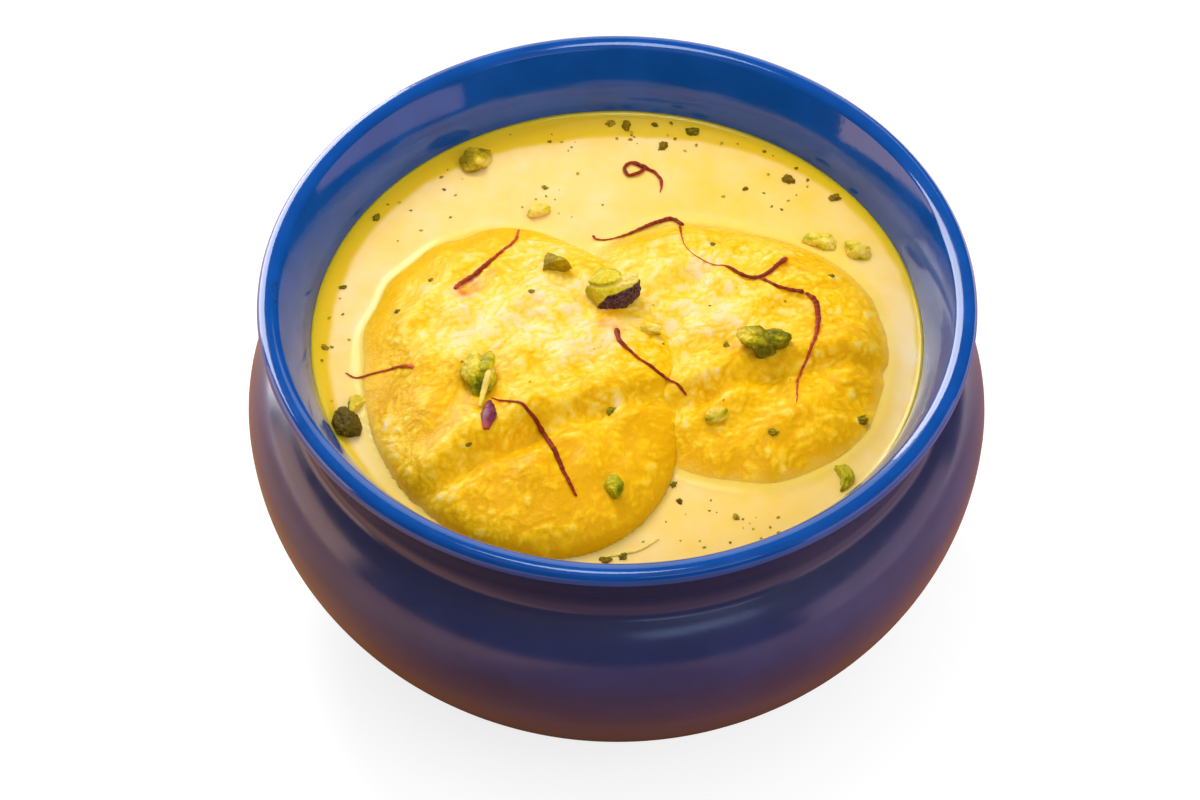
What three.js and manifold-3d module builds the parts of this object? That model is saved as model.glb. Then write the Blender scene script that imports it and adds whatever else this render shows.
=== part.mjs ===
// A round-bellied glazed bowl of rabri, the thick saffron milk of Indian sweets, with two soft
// cheese patties soaking in it. Chopped pistachio and saffron threads lie on top.
// Millimetres, +Z up. The origin is the middle of the foot's underside, and +Y is the back.
import * as THREE from "three";
import { mergeVertices } from "three/addons/utils/BufferGeometryUtils.js";
import Module from "manifold-3d";

const wasm = await Module();
wasm.setup();

// ---------------------------------------------------------------- driving dimensions

const HEIGHT = 71; // foot to rim
const GAP = 0.35; // left between neighbouring pieces
const TURN_STEPS = 52; // facets round the bowl

const lip = { centreRadius: 58.4, roundness: 1.6, innerWidth: 2.3 };
const belly = { radius: 63.4, height: 42.8, lowerWidth: 52, lowerDepth: 46, lowerEnd: 63 };
const shoulder = { width: 13, rise: 14, end: 60 };
const foot = { outer: 34.2, inner: 29, recess: 1.3 };
const inside = { neck: 51.4, neckHeight: 56.5, wall: 4.4, floorWidth: 47.6, floorDepth: 41.6, floor: 5.7 };

const MILK_LEVEL = 59; // 12 under the rim
const ROUNDING = 0.58; // 1 is an ellipsoid, less is a flatter pillow

// A patty's outline is a circle bent by a few harmonics: [times round, size, phase in degrees].
// rise is how far its top stands over the milk: in the middle, with the gain towards leanTo and
// the loss towards both ends of that line. margin is how its edge sinks away under the milk: most
// of all in one direction, and by the share called always in the others. sink is how far the
// patty reaches below.
const leftPatty = {
  centre: [-17, -10],
  radius: 32.1,
  outline: [[2, 5.45, -140], [3, 1.05, 56], [4, 1.0, 107]],
  rise: { middle: 7.4, gain: 2.0, loss: 1.7 },
  leanTo: -52,
  margin: { drop: 4.6, from: 0.52, towards: 152, always: 0.12 },
  waist: 2.2,
  sink: 12,
  reliefShift: 0,
  crease: {
    middle: [-15.5, -28.9],
    halfLength: 21,
    angle: 28,
    bow: 1.1,
    depth: 1.7,
    ridge: 1.2,
    step: 1.0,
  },
};
const rightPatty = {
  centre: [21.5, -4],
  radius: 29.9,
  outline: [[1, 1.35, 121], [2, 2.33, -129], [3, 1.69, 57], [4, 0.74, -163]],
  rise: { middle: 5.6, gain: 0.6, loss: 1.6 },
  leanTo: 10,
  margin: { drop: 6.2, from: 0.6, towards: 48, always: 0.5 },
  waist: 2.2,
  sink: 12,
  reliefShift: 9,
  crease: {
    middle: [29.3, -12.2],
    halfLength: 17,
    angle: 17.5,
    bow: 1.2,
    depth: 1.4,
    ridge: 0.9,
    step: 2.0,
  },
};
const creaseShape = { grooveWidth: 1.9, ridgeAway: 4.2, ridgeWidth: 2.8, stepWidth: 2.6, fade: 7 };

// The sponge's broad lumps: sine waves, each turned and shortened from the one before. calm is the
// share of their height that they lose towards a patty's edge.
const lumps = { waves: 6, longest: 17, shorten: 0.84, height: 0.34, turn: 2.4, shift: 1.7, calm: 0.75 };

const THREAD_RADIUS = 0.45;
const THREAD_SIDES = 5;
const THREAD_STEP = 2.4;
const THREAD_LIFT = 0.25; // of its centre line over what it lies on

// Saffron threads, as the points that each passes over, seen from above.
const leftThreads = [
  [[-16.4, 17.2], [-17.2, 14.2], [-19.8, 11], [-23.5, 7.4], [-27.3, 3.8]],
  [[0, -4.9], [0.8, -7.6], [3.1, -10.6], [6.0, -13.2], [8.0, -16.2]],
  [[-40.6, -14.7], [-37.5, -13.8], [-33.4, -13.0]],
  [[-19.6, -20.4], [-17.0, -21.0], [-13.6, -23.2], [-11.8, -26.8], [-10, -30.9], [-8.3, -35.4],
    [-6.6, -38.8]],
];
const rightThreads = [
  [[6.6, 18.4], [9.5, 19.6], [11.3, 18.5], [11.0, 15.5], [12.1, 12.8], [14.1, 10.7], [17.1, 9.4],
    [19.2, 9.4], [21.2, 7.8], [23.6, 6.6], [26.2, 7.8], [28.9, 10.8]],
  [[24.2, 6.6], [27.1, 4.7], [31.3, 3.3]],
  [[31.4, 3.2], [33.2, 0.7], [33.9, -2.8], [33.2, -7.2], [31.2, -11.5], [29.6, -15.4], [29.3, -20.6]],
];
const milkThreads = [
  [[7.1, 32.9], [7.9, 35.2], [6.6, 37.6], [4.8, 38.3], [3.2, 37.2], [1.7, 37.6], [1.7, 39.4],
    [3.6, 40.4], [5.6, 39.6]],
];

// Specks of pistachio and cardamom: where they lie and how big they are.
const leftCrumbs = [
  [-37.0, 2.2, 0.8], [-1.0, -21.2, 0.9], [-31.5, 8.5, 0.7], [-14.4, 3.2, 0.8], [-24.2, -29.5, 0.8],
];
const rightCrumbs = [
  [18.2, -6.9, 0.7], [25.6, -24.0, 1.0], [40.5, -19.5, 1.1], [16.4, 15.6, 0.8], [36.5, 9.5, 0.7],
];
const milkCrumbs = [
  [-0.9, 49.0, 0.9], [1.9, 48.4, 1.0], [6.9, 48.7, 0.8], [13.6, 47.0, 1.1], [8.3, 43.5, 0.9],
  [30.2, 35.4, 1.2], [38.2, 31.0, 0.9], [-41.8, 26.4, 0.8], [-49.3, -3.0, 0.8], [-46.9, 10.4, 0.7],
  [10.1, -39.5, 0.9], [19.2, -38.8, 0.8], [-12.5, 33.5, 0.7], [22.6, 33.2, 0.7], [26.0, -42.4, 0.7],
];

// Chopped pistachio: place, half sizes, turn in degrees, and how much of it stands over what it
// lies on. base is what carries it: the left patty, the right one or the milk.
const pistachios = [
  { name: "skinned_half", base: "left", at: [-1.0, 3.6], half: [5.2, 3.9, 3.2], turn: 12, proud: 0.42 },
  { name: "left_chunk", base: "left", at: [-22.9, -15.1], half: [2.9, 4.6, 2.4], turn: 14, proud: 0.4 },
  { name: "right_chunk", base: "right", at: [24.1, -7.6], half: [4.9, 2.9, 2.3], turn: -8, proud: 0.4 },
  { name: "dark_wedge", base: "left", at: [-10.4, 10.2], half: [2.5, 1.9, 1.5], turn: -10, proud: 0.4 },
  { name: "front_chip", base: "left", at: [-0.5, -36.3], half: [1.8, 2.5, 1.5], turn: 5, proud: 0.35 },
  { name: "pale_chip", base: "right", at: [16.4, -20.6], half: [2.2, 1.5, 1.1], turn: 40, proud: 0.35 },
  { name: "small_chip", base: "left", at: [5.6, -3.9], half: [1.9, 1.3, 1.0], turn: -20, proud: 0.35 },
  { name: "wall_chunk", base: "milk", at: [-45.0, -20.1], half: [1.9, 3.5, 1.6], turn: 22, proud: 0.3 },
  { name: "wall_flake", base: "milk", at: [-43.6, -15.9], half: [2.1, 1.3, 1.0], turn: 70, proud: 0.3 },
  { name: "olive_chunk", base: "milk", at: [-24.6, 39.6], half: [3.3, 2.7, 1.6], turn: 40, proud: 0.3 },
  { name: "back_chip", base: "milk", at: [-13.5, 27.9], half: [2.2, 1.5, 1.1], turn: 25, proud: 0.3 },
  { name: "green_chip", base: "milk", at: [35.4, 20.7], half: [2.8, 1.7, 1.2], turn: -8, proud: 0.3 },
  { name: "green_flake", base: "milk", at: [41.5, 18.6], half: [2.7, 1.7, 1.2], turn: -32, proud: 0.3 },
  { name: "sliver", base: "milk", at: [36.7, -30.8], half: [1.5, 3.1, 1.2], turn: 12, proud: 0.3 },
];
const CHIP_ROUGHNESS = 0.3; // how far a chopped face strays from the smooth nut
const CHIP_DETAIL = 1;

// How finely a patty is divided: round it, from its middle to its rim above, and the same below.
const pattyMesh = { round: 44, above: 12, below: 4, crowding: 1.35 };

// ---------------------------------------------------------------- materials

const finish = (color, roughness) => new THREE.MeshStandardMaterial({ color, roughness, metalness: 0 });
const glaze = finish(0x17356f, 0.12);
const rabri = finish(0xf6d47c, 0.22);
const sponge = finish(0xf2c030, 0.5);
const nut = finish(0x7f9c2a, 0.55);

// ---------------------------------------------------------------- helpers

const radians = THREE.MathUtils.degToRad;
const point = (x, y) => new THREE.Vector2(x, y);

// Points along an elliptical arc, angles in degrees.
function arc(centreX, centreY, radiusX, radiusY, from, to, steps) {
  const start = radians(from);
  const end = radians(to);
  const curve = new THREE.EllipseCurve(centreX, centreY, radiusX, radiusY, start, end, from > to);
  return curve.getPoints(steps);
}

// Points along a cubic curve, without its first one.
function sweep(start, startPull, endPull, end, steps) {
  return new THREE.CubicBezierCurve(start, startPull, endPull, end).getPoints(steps).slice(1);
}

// The same shape with its coinciding corners made one.
function weld(geometry) {
  geometry.deleteAttribute("normal");
  geometry.deleteAttribute("uv");
  return mergeVertices(geometry, 1e-4);
}

function solidOf(geometry) {
  const merged = weld(geometry);
  return new wasm.Manifold(
    new wasm.Mesh({
      numProp: 3,
      vertProperties: new Float32Array(merged.attributes.position.array),
      triVerts: new Uint32Array(merged.index.array),
    }),
  );
}

function geometryOf(solid) {
  const mesh = solid.getMesh();
  const geometry = new THREE.BufferGeometry();
  geometry.setAttribute("position", new THREE.BufferAttribute(new Float32Array(mesh.vertProperties), 3));
  geometry.setIndex(new THREE.BufferAttribute(new Uint32Array(mesh.triVerts), 1));
  geometry.computeVertexNormals();
  return geometry;
}

function meshOf(name, solid, material) {
  const mesh = new THREE.Mesh(geometryOf(solid), material);
  mesh.name = name;
  return mesh;
}

// A closed profile of [radius, height] points turned about +Z.
function turned(profile) {
  const geometry = new THREE.LatheGeometry(profile, TURN_STEPS);
  geometry.rotateX(Math.PI / 2);
  return solidOf(geometry);
}

// A repeatable stream of numbers from 0 to 1.
function seeded(seed) {
  let state = seed * 7919 + 17;
  return () => {
    state = (state * 16807) % 2147483647;
    return state / 2147483647;
  };
}

// ---------------------------------------------------------------- the bowl

// The inner wall from the rim's top down to the middle of the floor.
function innerProfile() {
  const top = HEIGHT - lip.roundness;
  const flareTop = point(lip.centreRadius - 0.897 * lip.innerWidth, top + 0.441 * lip.roundness);
  const flarePull = point(flareTop.x - 2.2, flareTop.y - 3.3);
  const neck = point(inside.neck, inside.neckHeight);
  const widest = point(belly.radius - inside.wall, belly.height);
  const { floorWidth, floorDepth } = inside;
  return [
    flareTop,
    ...sweep(flareTop, flarePull, point(neck.x, neck.y + 5.5), neck, 5),
    ...sweep(neck, point(neck.x, neck.y - 4), point(widest.x, widest.y + 7), widest, 3),
    ...arc(widest.x - floorWidth, widest.y, floorWidth, floorDepth, 0, -62, 5).slice(1),
    point(0, inside.floor),
  ];
}

function bowlProfile() {
  const lower = belly.radius - belly.lowerWidth;
  const upper = belly.radius - shoulder.width;
  const top = HEIGHT - lip.roundness;
  const shoulderArc = arc(upper, belly.height, shoulder.width, shoulder.rise, 0, shoulder.end, 3).slice(1);
  const lipOuter = arc(lip.centreRadius, top, lip.roundness, lip.roundness, -35, 90, 4);
  const lipInner = arc(lip.centreRadius, top, lip.innerWidth, lip.roundness, 90, 154, 3);
  const lipArc = [...lipOuter, ...lipInner.slice(1)];
  const neckStart = shoulderArc[shoulderArc.length - 1];
  const neckEnd = lipArc[0];
  const startPull = point(neckStart.x - 3, neckStart.y + 1.9);
  const endPull = point(neckEnd.x - 2.3, neckEnd.y - 3.3);
  return [
    point(0, foot.recess),
    point(foot.inner - 0.8, foot.recess),
    point(foot.inner, 0),
    point(foot.outer, 0),
    ...arc(lower, belly.height, belly.lowerWidth, belly.lowerDepth, -belly.lowerEnd, 0, 7),
    ...shoulderArc,
    ...sweep(neckStart, startPull, endPull, neckEnd, 4),
    ...lipArc.slice(1, -1),
    ...innerProfile(),
  ];
}

// The milk fills the inside up to its level, a gap away from the wall.
function milkProfile() {
  const wall = innerProfile().reverse();
  const moved = wall.map((here, i) => {
    const before = wall[Math.max(i - 1, 0)];
    const after = wall[Math.min(i + 1, wall.length - 1)];
    const along = after.clone().sub(before).normalize();
    return point(Math.max(0, here.x - along.y * GAP), here.y + along.x * GAP);
  });
  moved[0].x = 0;
  const below = moved.filter((p) => p.y < MILK_LEVEL - 0.5);
  const edge = below[below.length - 1];
  return [...below, point(edge.x, MILK_LEVEL), point(0, MILK_LEVEL)];
}

// ---------------------------------------------------------------- the patties

function outlineRadius(patty, angle) {
  return patty.outline.reduce(
    (sum, [times, size, phase]) => sum + size * Math.cos(times * angle - radians(phase)),
    patty.radius,
  );
}

// The broad lumps of the sponge.
function lumpHeight(x, y, shift) {
  let height = 0;
  for (let i = 0; i < lumps.waves; i += 1) {
    const turn = i * lumps.turn + shift;
    const pitch = (2 * Math.PI) / (lumps.longest * lumps.shorten ** i);
    height += Math.sin(pitch * (x * Math.cos(turn) + y * Math.sin(turn)) + i * lumps.shift + shift);
  }
  return lumps.height * height;
}

// The fold across a patty: a groove, a ridge behind it, and a lower tier in front of it.
function creaseHeight(x, y, crease) {
  const turn = radians(crease.angle);
  const dx = x - crease.middle[0];
  const dy = y - crease.middle[1];
  const along = dx * Math.cos(turn) + dy * Math.sin(turn);
  const bow = crease.bow * (1 - (along / crease.halfLength) ** 2);
  const across = -dx * Math.sin(turn) + dy * Math.cos(turn) - Math.max(bow, -3 * crease.bow);
  const past = Math.max(0, Math.abs(along) - crease.halfLength);
  const strength = Math.exp(-((past / creaseShape.fade) ** 2));
  const groove = crease.depth * Math.exp(-((across / creaseShape.grooveWidth) ** 2));
  const ridge = crease.ridge * Math.exp(-(((across - creaseShape.ridgeAway) / creaseShape.ridgeWidth) ** 2));
  const step = crease.step * 0.5 * (Math.tanh(across / creaseShape.stepWidth) - 1);
  return strength * (ridge - groove + step);
}

// How far the top would stand over the milk at this place if its rim were not rounded.
function riseAt(patty, x, y, reach) {
  const { rise, margin } = patty;
  const dx = x - patty.centre[0];
  const dy = y - patty.centre[1];
  const lean = radians(patty.leanTo);
  const t = (dx * Math.cos(lean) + dy * Math.sin(lean)) / patty.radius;
  const facing = Math.max(0, Math.cos(Math.atan2(dy, dx) - radians(margin.towards)));
  const share = margin.always + (1 - margin.always) * facing;
  const sunk = margin.drop * share * THREE.MathUtils.smoothstep(reach, margin.from, 1);
  return rise.middle + rise.gain * t - rise.loss * t * t - sunk;
}

// Height of a patty's upper (side 1) or lower (side -1) surface, with its outline grown by grow.
function pattySurface(patty, x, y, side, grow) {
  const [cx, cy] = patty.centre;
  const reach = Math.hypot(x - cx, y - cy) / (outlineRadius(patty, Math.atan2(y - cy, x - cx)) + grow);
  const power = 2 / ROUNDING;
  const dome = Math.max(0, 1 - Math.min(reach, 1) ** power) ** (1 / power);
  const middle = MILK_LEVEL - patty.waist;
  if (side < 0) return middle - dome * (patty.sink - patty.waist + grow);
  const left = 1 - lumps.calm * THREE.MathUtils.smoothstep(reach, 0.5, 0.95);
  const relief = left * lumpHeight(x, y, patty.reliefShift) + creaseHeight(x, y, patty.crease);
  return middle + dome * (riseAt(patty, x, y, reach) + patty.waist + relief + grow);
}

// Rings from the middle below, out to the rim and back to the middle above, closer near the rim.
function pillowProfile() {
  const ring = (left, side) => point(1 - left ** pattyMesh.crowding, side * left);
  const profile = [];
  for (let i = 0; i <= pattyMesh.below; i += 1) profile.push(ring(1 - i / pattyMesh.below, -1));
  for (let i = 1; i <= pattyMesh.above; i += 1) profile.push(ring(i / pattyMesh.above, 1));
  return profile;
}

function pattySolid(patty, grow) {
  const geometry = weld(new THREE.LatheGeometry(pillowProfile(), pattyMesh.round));
  geometry.rotateX(Math.PI / 2);
  const position = geometry.attributes.position;
  const [cx, cy] = patty.centre;
  for (let i = 0; i < position.count; i += 1) {
    const angle = Math.atan2(position.getY(i), position.getX(i));
    const fraction = Math.hypot(position.getX(i), position.getY(i));
    const reach = fraction * (outlineRadius(patty, angle) + grow);
    const x = cx + reach * Math.cos(angle);
    const y = cy + reach * Math.sin(angle);
    position.setXYZ(i, x, y, pattySurface(patty, x, y, position.getZ(i) < 0 ? -1 : 1, grow));
  }
  return solidOf(geometry);
}

const topOf = {
  left: (x, y) => pattySurface(leftPatty, x, y, 1, 0),
  right: (x, y) => pattySurface(rightPatty, x, y, 1, 0),
  milk: () => MILK_LEVEL,
};

// ---------------------------------------------------------------- toppings

// A saffron thread lying on a surface.
function threadSolid(route, base) {
  const points = route.map(([x, y]) => new THREE.Vector3(x, y, topOf[base](x, y) + THREAD_LIFT));
  const curve = new THREE.CatmullRomCurve3(points, false, "centripetal");
  const section = new THREE.Shape();
  for (let i = 0; i < THREAD_SIDES; i += 1) {
    const angle = (2 * Math.PI * i) / THREAD_SIDES;
    section[i ? "lineTo" : "moveTo"](THREAD_RADIUS * Math.cos(angle), THREAD_RADIUS * Math.sin(angle));
  }
  section.closePath();
  const steps = Math.ceil(curve.getLength() / THREAD_STEP);
  return solidOf(new THREE.ExtrudeGeometry(section, { steps, bevelEnabled: false, extrudePath: curve }));
}

// A speck half sunk in a surface.
function crumbSolid([x, y, radius], base) {
  const geometry = new THREE.IcosahedronGeometry(radius, 0);
  geometry.rotateX(x);
  geometry.rotateZ(y);
  geometry.translate(x, y, topOf[base](x, y) + 0.2 * radius);
  return solidOf(geometry);
}

// A chopped piece of pistachio, its half sizes grown by grow.
function pistachioSolid(piece, index, grow) {
  const geometry = weld(new THREE.IcosahedronGeometry(1, CHIP_DETAIL));
  const position = geometry.attributes.position;
  const random = seeded(index + 1);
  const corner = new THREE.Vector3();
  for (let i = 0; i < position.count; i += 1) {
    const swell = 1 + CHIP_ROUGHNESS * (random() - 0.5);
    corner.fromBufferAttribute(position, i).multiplyScalar(swell);
    position.setXYZ(i, corner.x, corner.y, corner.z);
  }
  geometry.scale(...piece.half.map((h) => h + grow));
  geometry.rotateZ(radians(piece.turn));
  const [x, y] = piece.at;
  geometry.translate(x, y, topOf[piece.base](x, y) + piece.half[2] * piece.proud);
  return solidOf(geometry);
}

function withToppings(solid, threads, crumbs, base) {
  for (const route of threads) solid = solid.add(threadSolid(route, base));
  for (const crumb of crumbs) solid = solid.add(crumbSolid(crumb, base));
  return solid;
}

// ---------------------------------------------------------------- assembly

const leftGrown = pattySolid(leftPatty, GAP);
const rightGrown = pattySolid(rightPatty, GAP);
const bothGrown = leftGrown.add(rightGrown);

const leftBare = pattySolid(leftPatty, 0);
const rightBare = pattySolid(rightPatty, 0).subtract(leftGrown);
const leftSolid = withToppings(leftBare, leftThreads, leftCrumbs, "left");
const rightSolid = withToppings(rightBare, rightThreads, rightCrumbs, "right");

let milkSolid = turned(milkProfile()).subtract(bothGrown);
const chips = pistachios.map((piece, index) => {
  if (piece.base === "milk") milkSolid = milkSolid.subtract(pistachioSolid(piece, index, GAP));
  return meshOf(`pistachio_${piece.name}`, pistachioSolid(piece, index, 0).subtract(bothGrown), nut);
});
milkSolid = withToppings(milkSolid, milkThreads, milkCrumbs, "milk");

const bowlOfRabri = new THREE.Group();
bowlOfRabri.add(
  meshOf("bowl", turned(bowlProfile()), glaze),
  meshOf("milk", milkSolid, rabri),
  meshOf("patty_left", leftSolid, sponge),
  meshOf("patty_right", rightSolid, sponge),
  ...chips,
);

export default bowlOfRabri;
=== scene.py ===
"""Looks of a glazed bowl of rabri: thick saffron milk with two soft cheese patties soaking in it,
chopped pistachio and saffron threads.

Lengths are millimetres until a mesh is made. The frame is the part's own: +Z up, +Y to the back,
and the origin in the middle of the foot's underside.
"""

import itertools
import math
from types import SimpleNamespace as Named

import bmesh
import bpy
import numpy as np
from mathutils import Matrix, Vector
from mathutils.bvhtree import BVHTree


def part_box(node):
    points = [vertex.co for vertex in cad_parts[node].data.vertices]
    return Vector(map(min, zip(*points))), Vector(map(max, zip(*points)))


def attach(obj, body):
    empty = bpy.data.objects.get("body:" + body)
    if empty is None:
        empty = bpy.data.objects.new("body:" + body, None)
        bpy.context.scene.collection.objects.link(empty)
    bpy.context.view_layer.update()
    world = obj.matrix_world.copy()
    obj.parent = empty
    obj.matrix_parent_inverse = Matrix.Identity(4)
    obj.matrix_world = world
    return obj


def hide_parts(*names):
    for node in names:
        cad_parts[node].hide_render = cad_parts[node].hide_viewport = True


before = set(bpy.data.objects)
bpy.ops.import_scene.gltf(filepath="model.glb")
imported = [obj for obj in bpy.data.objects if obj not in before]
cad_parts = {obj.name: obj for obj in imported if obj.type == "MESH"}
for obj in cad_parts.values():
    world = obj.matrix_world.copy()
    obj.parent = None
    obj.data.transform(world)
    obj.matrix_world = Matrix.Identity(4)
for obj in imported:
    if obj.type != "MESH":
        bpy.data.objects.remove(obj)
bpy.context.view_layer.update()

MM = 0.001

# ---------------------------------------------------------------- sizes shared with the part

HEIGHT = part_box("bowl")[1].z / MM
BELLY_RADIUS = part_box("bowl")[1].x / MM
MILK_LEVEL = HEIGHT - 12
GAP = 0.35  # between the milk and what it touches

lip = Named(radius=58.4, roundness=1.6, inner_width=2.3)
belly = Named(radius=BELLY_RADIUS, height=42.8, lower_width=52, lower_depth=46, lower_end=63)
shoulder = Named(width=13, rise=14, end=60)
foot = Named(outer=34.2, inner=29, recess=1.3)
inside = Named(neck=51.4, neck_height=56.5, wall=4.4, floor_width=47.6, floor_depth=41.6, floor=5.7)

# A patty's outline is a circle bent by a few harmonics: (times round, size, phase in degrees).
# rise is how far its top stands over the milk, and margin how its edge sinks away under it. film
# is how far milk creeps over its edge, and soaked how smooth and golden the edge is, by direction in
# degrees.
left_patty = Named(
    centre=(-17, -10),
    radius=32.1,
    outline=[(2, 5.45, -140), (3, 1.05, 56), (4, 1.0, 107)],
    rise=Named(middle=7.4, gain=2.0, loss=1.7),
    lean_to=-52,
    margin=Named(drop=4.6, start=0.52, towards=152, always=0.12),
    waist=2.2,
    sink=12,
    relief_shift=0,
    film=[(60, 0.3), (95, 0.15), (155, 0.1), (180, 0.6), (215, 1.0), (240, 0.8), (265, 0.2), (290, 0)],
    soaked=[(55, 0), (85, 1), (165, 1), (200, 0), (350, 0)],
    crease=Named(
        middle=(-15.5, -28.9), half_length=21, angle=28, bow=1.1, depth=1.7, ridge=1.2, step=1.0
    ),
)
right_patty = Named(
    centre=(21.5, -4),
    radius=29.9,
    outline=[(1, 1.35, 121), (2, 2.33, -129), (3, 1.69, 57), (4, 0.74, -163)],
    rise=Named(middle=5.6, gain=0.6, loss=1.6),
    lean_to=10,
    margin=Named(drop=6.2, start=0.6, towards=48, always=0.5),
    waist=2.2,
    sink=12,
    relief_shift=9,
    film=[(0, 0.5), (45, 0.5), (100, 0.5), (140, 0.3), (180, 0), (235, 0.3), (265, 0.35), (330, 0.35)],
    soaked=[(0, 0.3), (50, 0.8), (110, 0.5), (150, 0), (320, 0)],
    crease=Named(
        middle=(25.5, -13.4), half_length=13, angle=17.5, bow=1.2, depth=1.4, ridge=0.9, step=1.3
    ),
)
ROUNDING = 0.58
crease_shape = Named(groove_width=1.9, ridge_away=4.2, ridge_width=2.8, step_width=2.6, fade=7)
lumps = Named(waves=6, longest=17, shorten=0.84, height=0.25, turn=2.4, shift=1.7, calm=0.75)

# ---------------------------------------------------------------- noise


class Noise:
    """Smooth repeatable noise in space, from about -1 to 1."""

    def __init__(self, seed):
        random = np.random.default_rng(seed)
        self.order = random.permutation(256)
        directions = random.normal(size=(256, 3))
        self.directions = directions / np.linalg.norm(directions, axis=1, keepdims=True)

    def __call__(self, points):
        cell = np.floor(points).astype(int)
        within = points - cell
        fade = within**3 * (within * (within * 6 - 15) + 10)
        total = np.zeros(len(points))
        for corner in itertools.product((0, 1), repeat=3):
            at = (cell + corner) & 255
            pick = self.order[at[:, 0]]
            pick = self.order[(pick + at[:, 1]) & 255]
            pick = self.order[(pick + at[:, 2]) & 255]
            slope = ((within - corner) * self.directions[pick]).sum(axis=1)
            total += slope * np.prod(np.where(corner, fade, 1 - fade), axis=1)
        return 1.6 * total


noise = Noise(seed=7)


def smoothstep(value, low, high):
    t = np.clip((value - low) / (high - low), 0, 1)
    return t * t * (3 - 2 * t)


def around(angle, stops):
    """A value by direction in radians, from (degrees, value) stops that go once round."""
    degrees, values = zip(*sorted((d % 360, v) for d, v in stops))
    return np.interp(np.degrees(angle), degrees, values, period=360)


def blobs(points, spots):
    """Sum of soft round spots, given as (x, y, radius, strength)."""
    total = np.zeros(len(points))
    for x, y, radius, strength in spots:
        away = np.hypot(points[:, 0] - x, points[:, 1] - y) / radius
        total += strength * np.exp(-(away**2))
    return total


# ---------------------------------------------------------------- meshes


def mesh_object(name, points, faces, materials, values):
    """A smooth closed piece that rides on the part.

    values are named numbers for its points, in order, and 0 for any points past their end.
    """
    mesh = bpy.data.meshes.new(name)
    mesh.from_pydata((np.asarray(points) * MM).tolist(), [], faces)
    for key, numbers in values.items():
        every = np.zeros(len(points))
        every[: len(numbers)] = numbers
        mesh.attributes.new(key, "FLOAT", "POINT").data.foreach_set("value", every)
    shape = bmesh.new()
    shape.from_mesh(mesh)
    bmesh.ops.recalc_face_normals(shape, faces=shape.faces)
    shape.to_mesh(mesh)
    shape.free()
    mesh.shade_smooth()
    for material in materials:
        mesh.materials.append(material)
    piece = bpy.data.objects.new(name, mesh)
    bpy.context.scene.collection.objects.link(piece)
    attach(piece, "root")
    return piece


def point_normals(points, quads):
    """Unit normals of a grid of quads, at its points."""
    corners = points[quads]
    across = np.cross(corners[:, 2] - corners[:, 0], corners[:, 3] - corners[:, 1])
    normals = np.zeros_like(points)
    for i in range(4):
        np.add.at(normals, quads[:, i], across)
    return normals / np.maximum(np.linalg.norm(normals, axis=1, keepdims=True), 1e-9)


def disc_grid(steps):
    """A square grid bent into a unit disc: x, y, its quads, and its rim's points in order."""
    line = np.linspace(-1, 1, steps + 1)
    a, b = np.meshgrid(line, line, indexing="ij")
    wide = np.abs(a) > np.abs(b)
    radius = np.where(wide, a, b)
    divisor = np.where(radius == 0, 1, radius)
    angle = np.where(wide, b / divisor, 2 - a / divisor) * math.pi / 4
    index = np.arange((steps + 1) ** 2).reshape(steps + 1, steps + 1)
    quads = np.stack([index[:-1, :-1], index[1:, :-1], index[1:, 1:], index[:-1, 1:]], axis=-1)
    rim = np.concatenate([index[:-1, 0], index[-1, :-1], index[:0:-1, -1], index[0, :0:-1]])
    return (radius * np.cos(angle)).ravel(), (radius * np.sin(angle)).ravel(), quads.reshape(-1, 4), rim


def close_below(top, quads, rim, rings, bottom):
    """Joins a grid's rim to rings of points below it, and the last ring to a bottom point."""
    count = len(rim)
    points = np.vstack([top, *rings, bottom])
    faces = quads.tolist()
    before = rim
    for i in range(len(rings)):
        after = len(top) + i * count + np.arange(count)
        strip = np.stack([before, np.roll(before, -1), np.roll(after, -1), after], axis=1)
        faces += strip.tolist()
        before = after
    last = len(points) - 1
    faces += [[int(a), int(b), last] for a, b in zip(before, np.roll(before, -1))]
    return points, faces


def arc(centre, radii, start, end, steps):
    """Points along an elliptical arc, angles in degrees."""
    angle = np.radians(np.linspace(start, end, steps + 1))
    return np.stack([centre[0] + radii[0] * np.cos(angle), centre[1] + radii[1] * np.sin(angle)], axis=1)


def sweep(start, start_pull, end_pull, end, steps):
    """Points along a cubic curve, without its first one."""
    t = np.linspace(0, 1, steps + 1)[1:, None]
    return (
        (1 - t) ** 3 * start
        + 3 * (1 - t) ** 2 * t * start_pull
        + 3 * (1 - t) * t**2 * end_pull
        + t**3 * end
    )


# ---------------------------------------------------------------- material nodes


def material_of(name, settings):
    """A new material, with the shader's own sockets set."""
    material = bpy.data.materials.new(name)
    material.use_nodes = True
    shader = material.node_tree.nodes["Principled BSDF"]
    for socket, value in settings.items():
        shader.inputs[socket].default_value = value
    return material, material.node_tree, shader.inputs


def add_node(tree, kind, inputs=None, **settings):
    """A new node. inputs maps a socket to a value or to another node's output."""
    node = tree.nodes.new(kind)
    for key, value in settings.items():
        setattr(node, key, value)
    for socket, value in (inputs or {}).items():
        if isinstance(value, bpy.types.NodeSocket):
            tree.links.new(value, node.inputs[socket])
        else:
            node.inputs[socket].default_value = value
    return node


def attribute(tree, name):
    return add_node(tree, "ShaderNodeAttribute", attribute_name=name).outputs["Fac"]


def grain(tree, size, detail=3.0, distortion=0.0):
    """Noise with features of this size in millimetres, about 0.5 in the middle."""
    place = add_node(tree, "ShaderNodeTexCoord").outputs["Object"]
    inputs = {"Vector": place, "Scale": 1 / (size * MM), "Detail": detail, "Distortion": distortion}
    return add_node(tree, "ShaderNodeTexNoise", inputs).outputs["Fac"]


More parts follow.
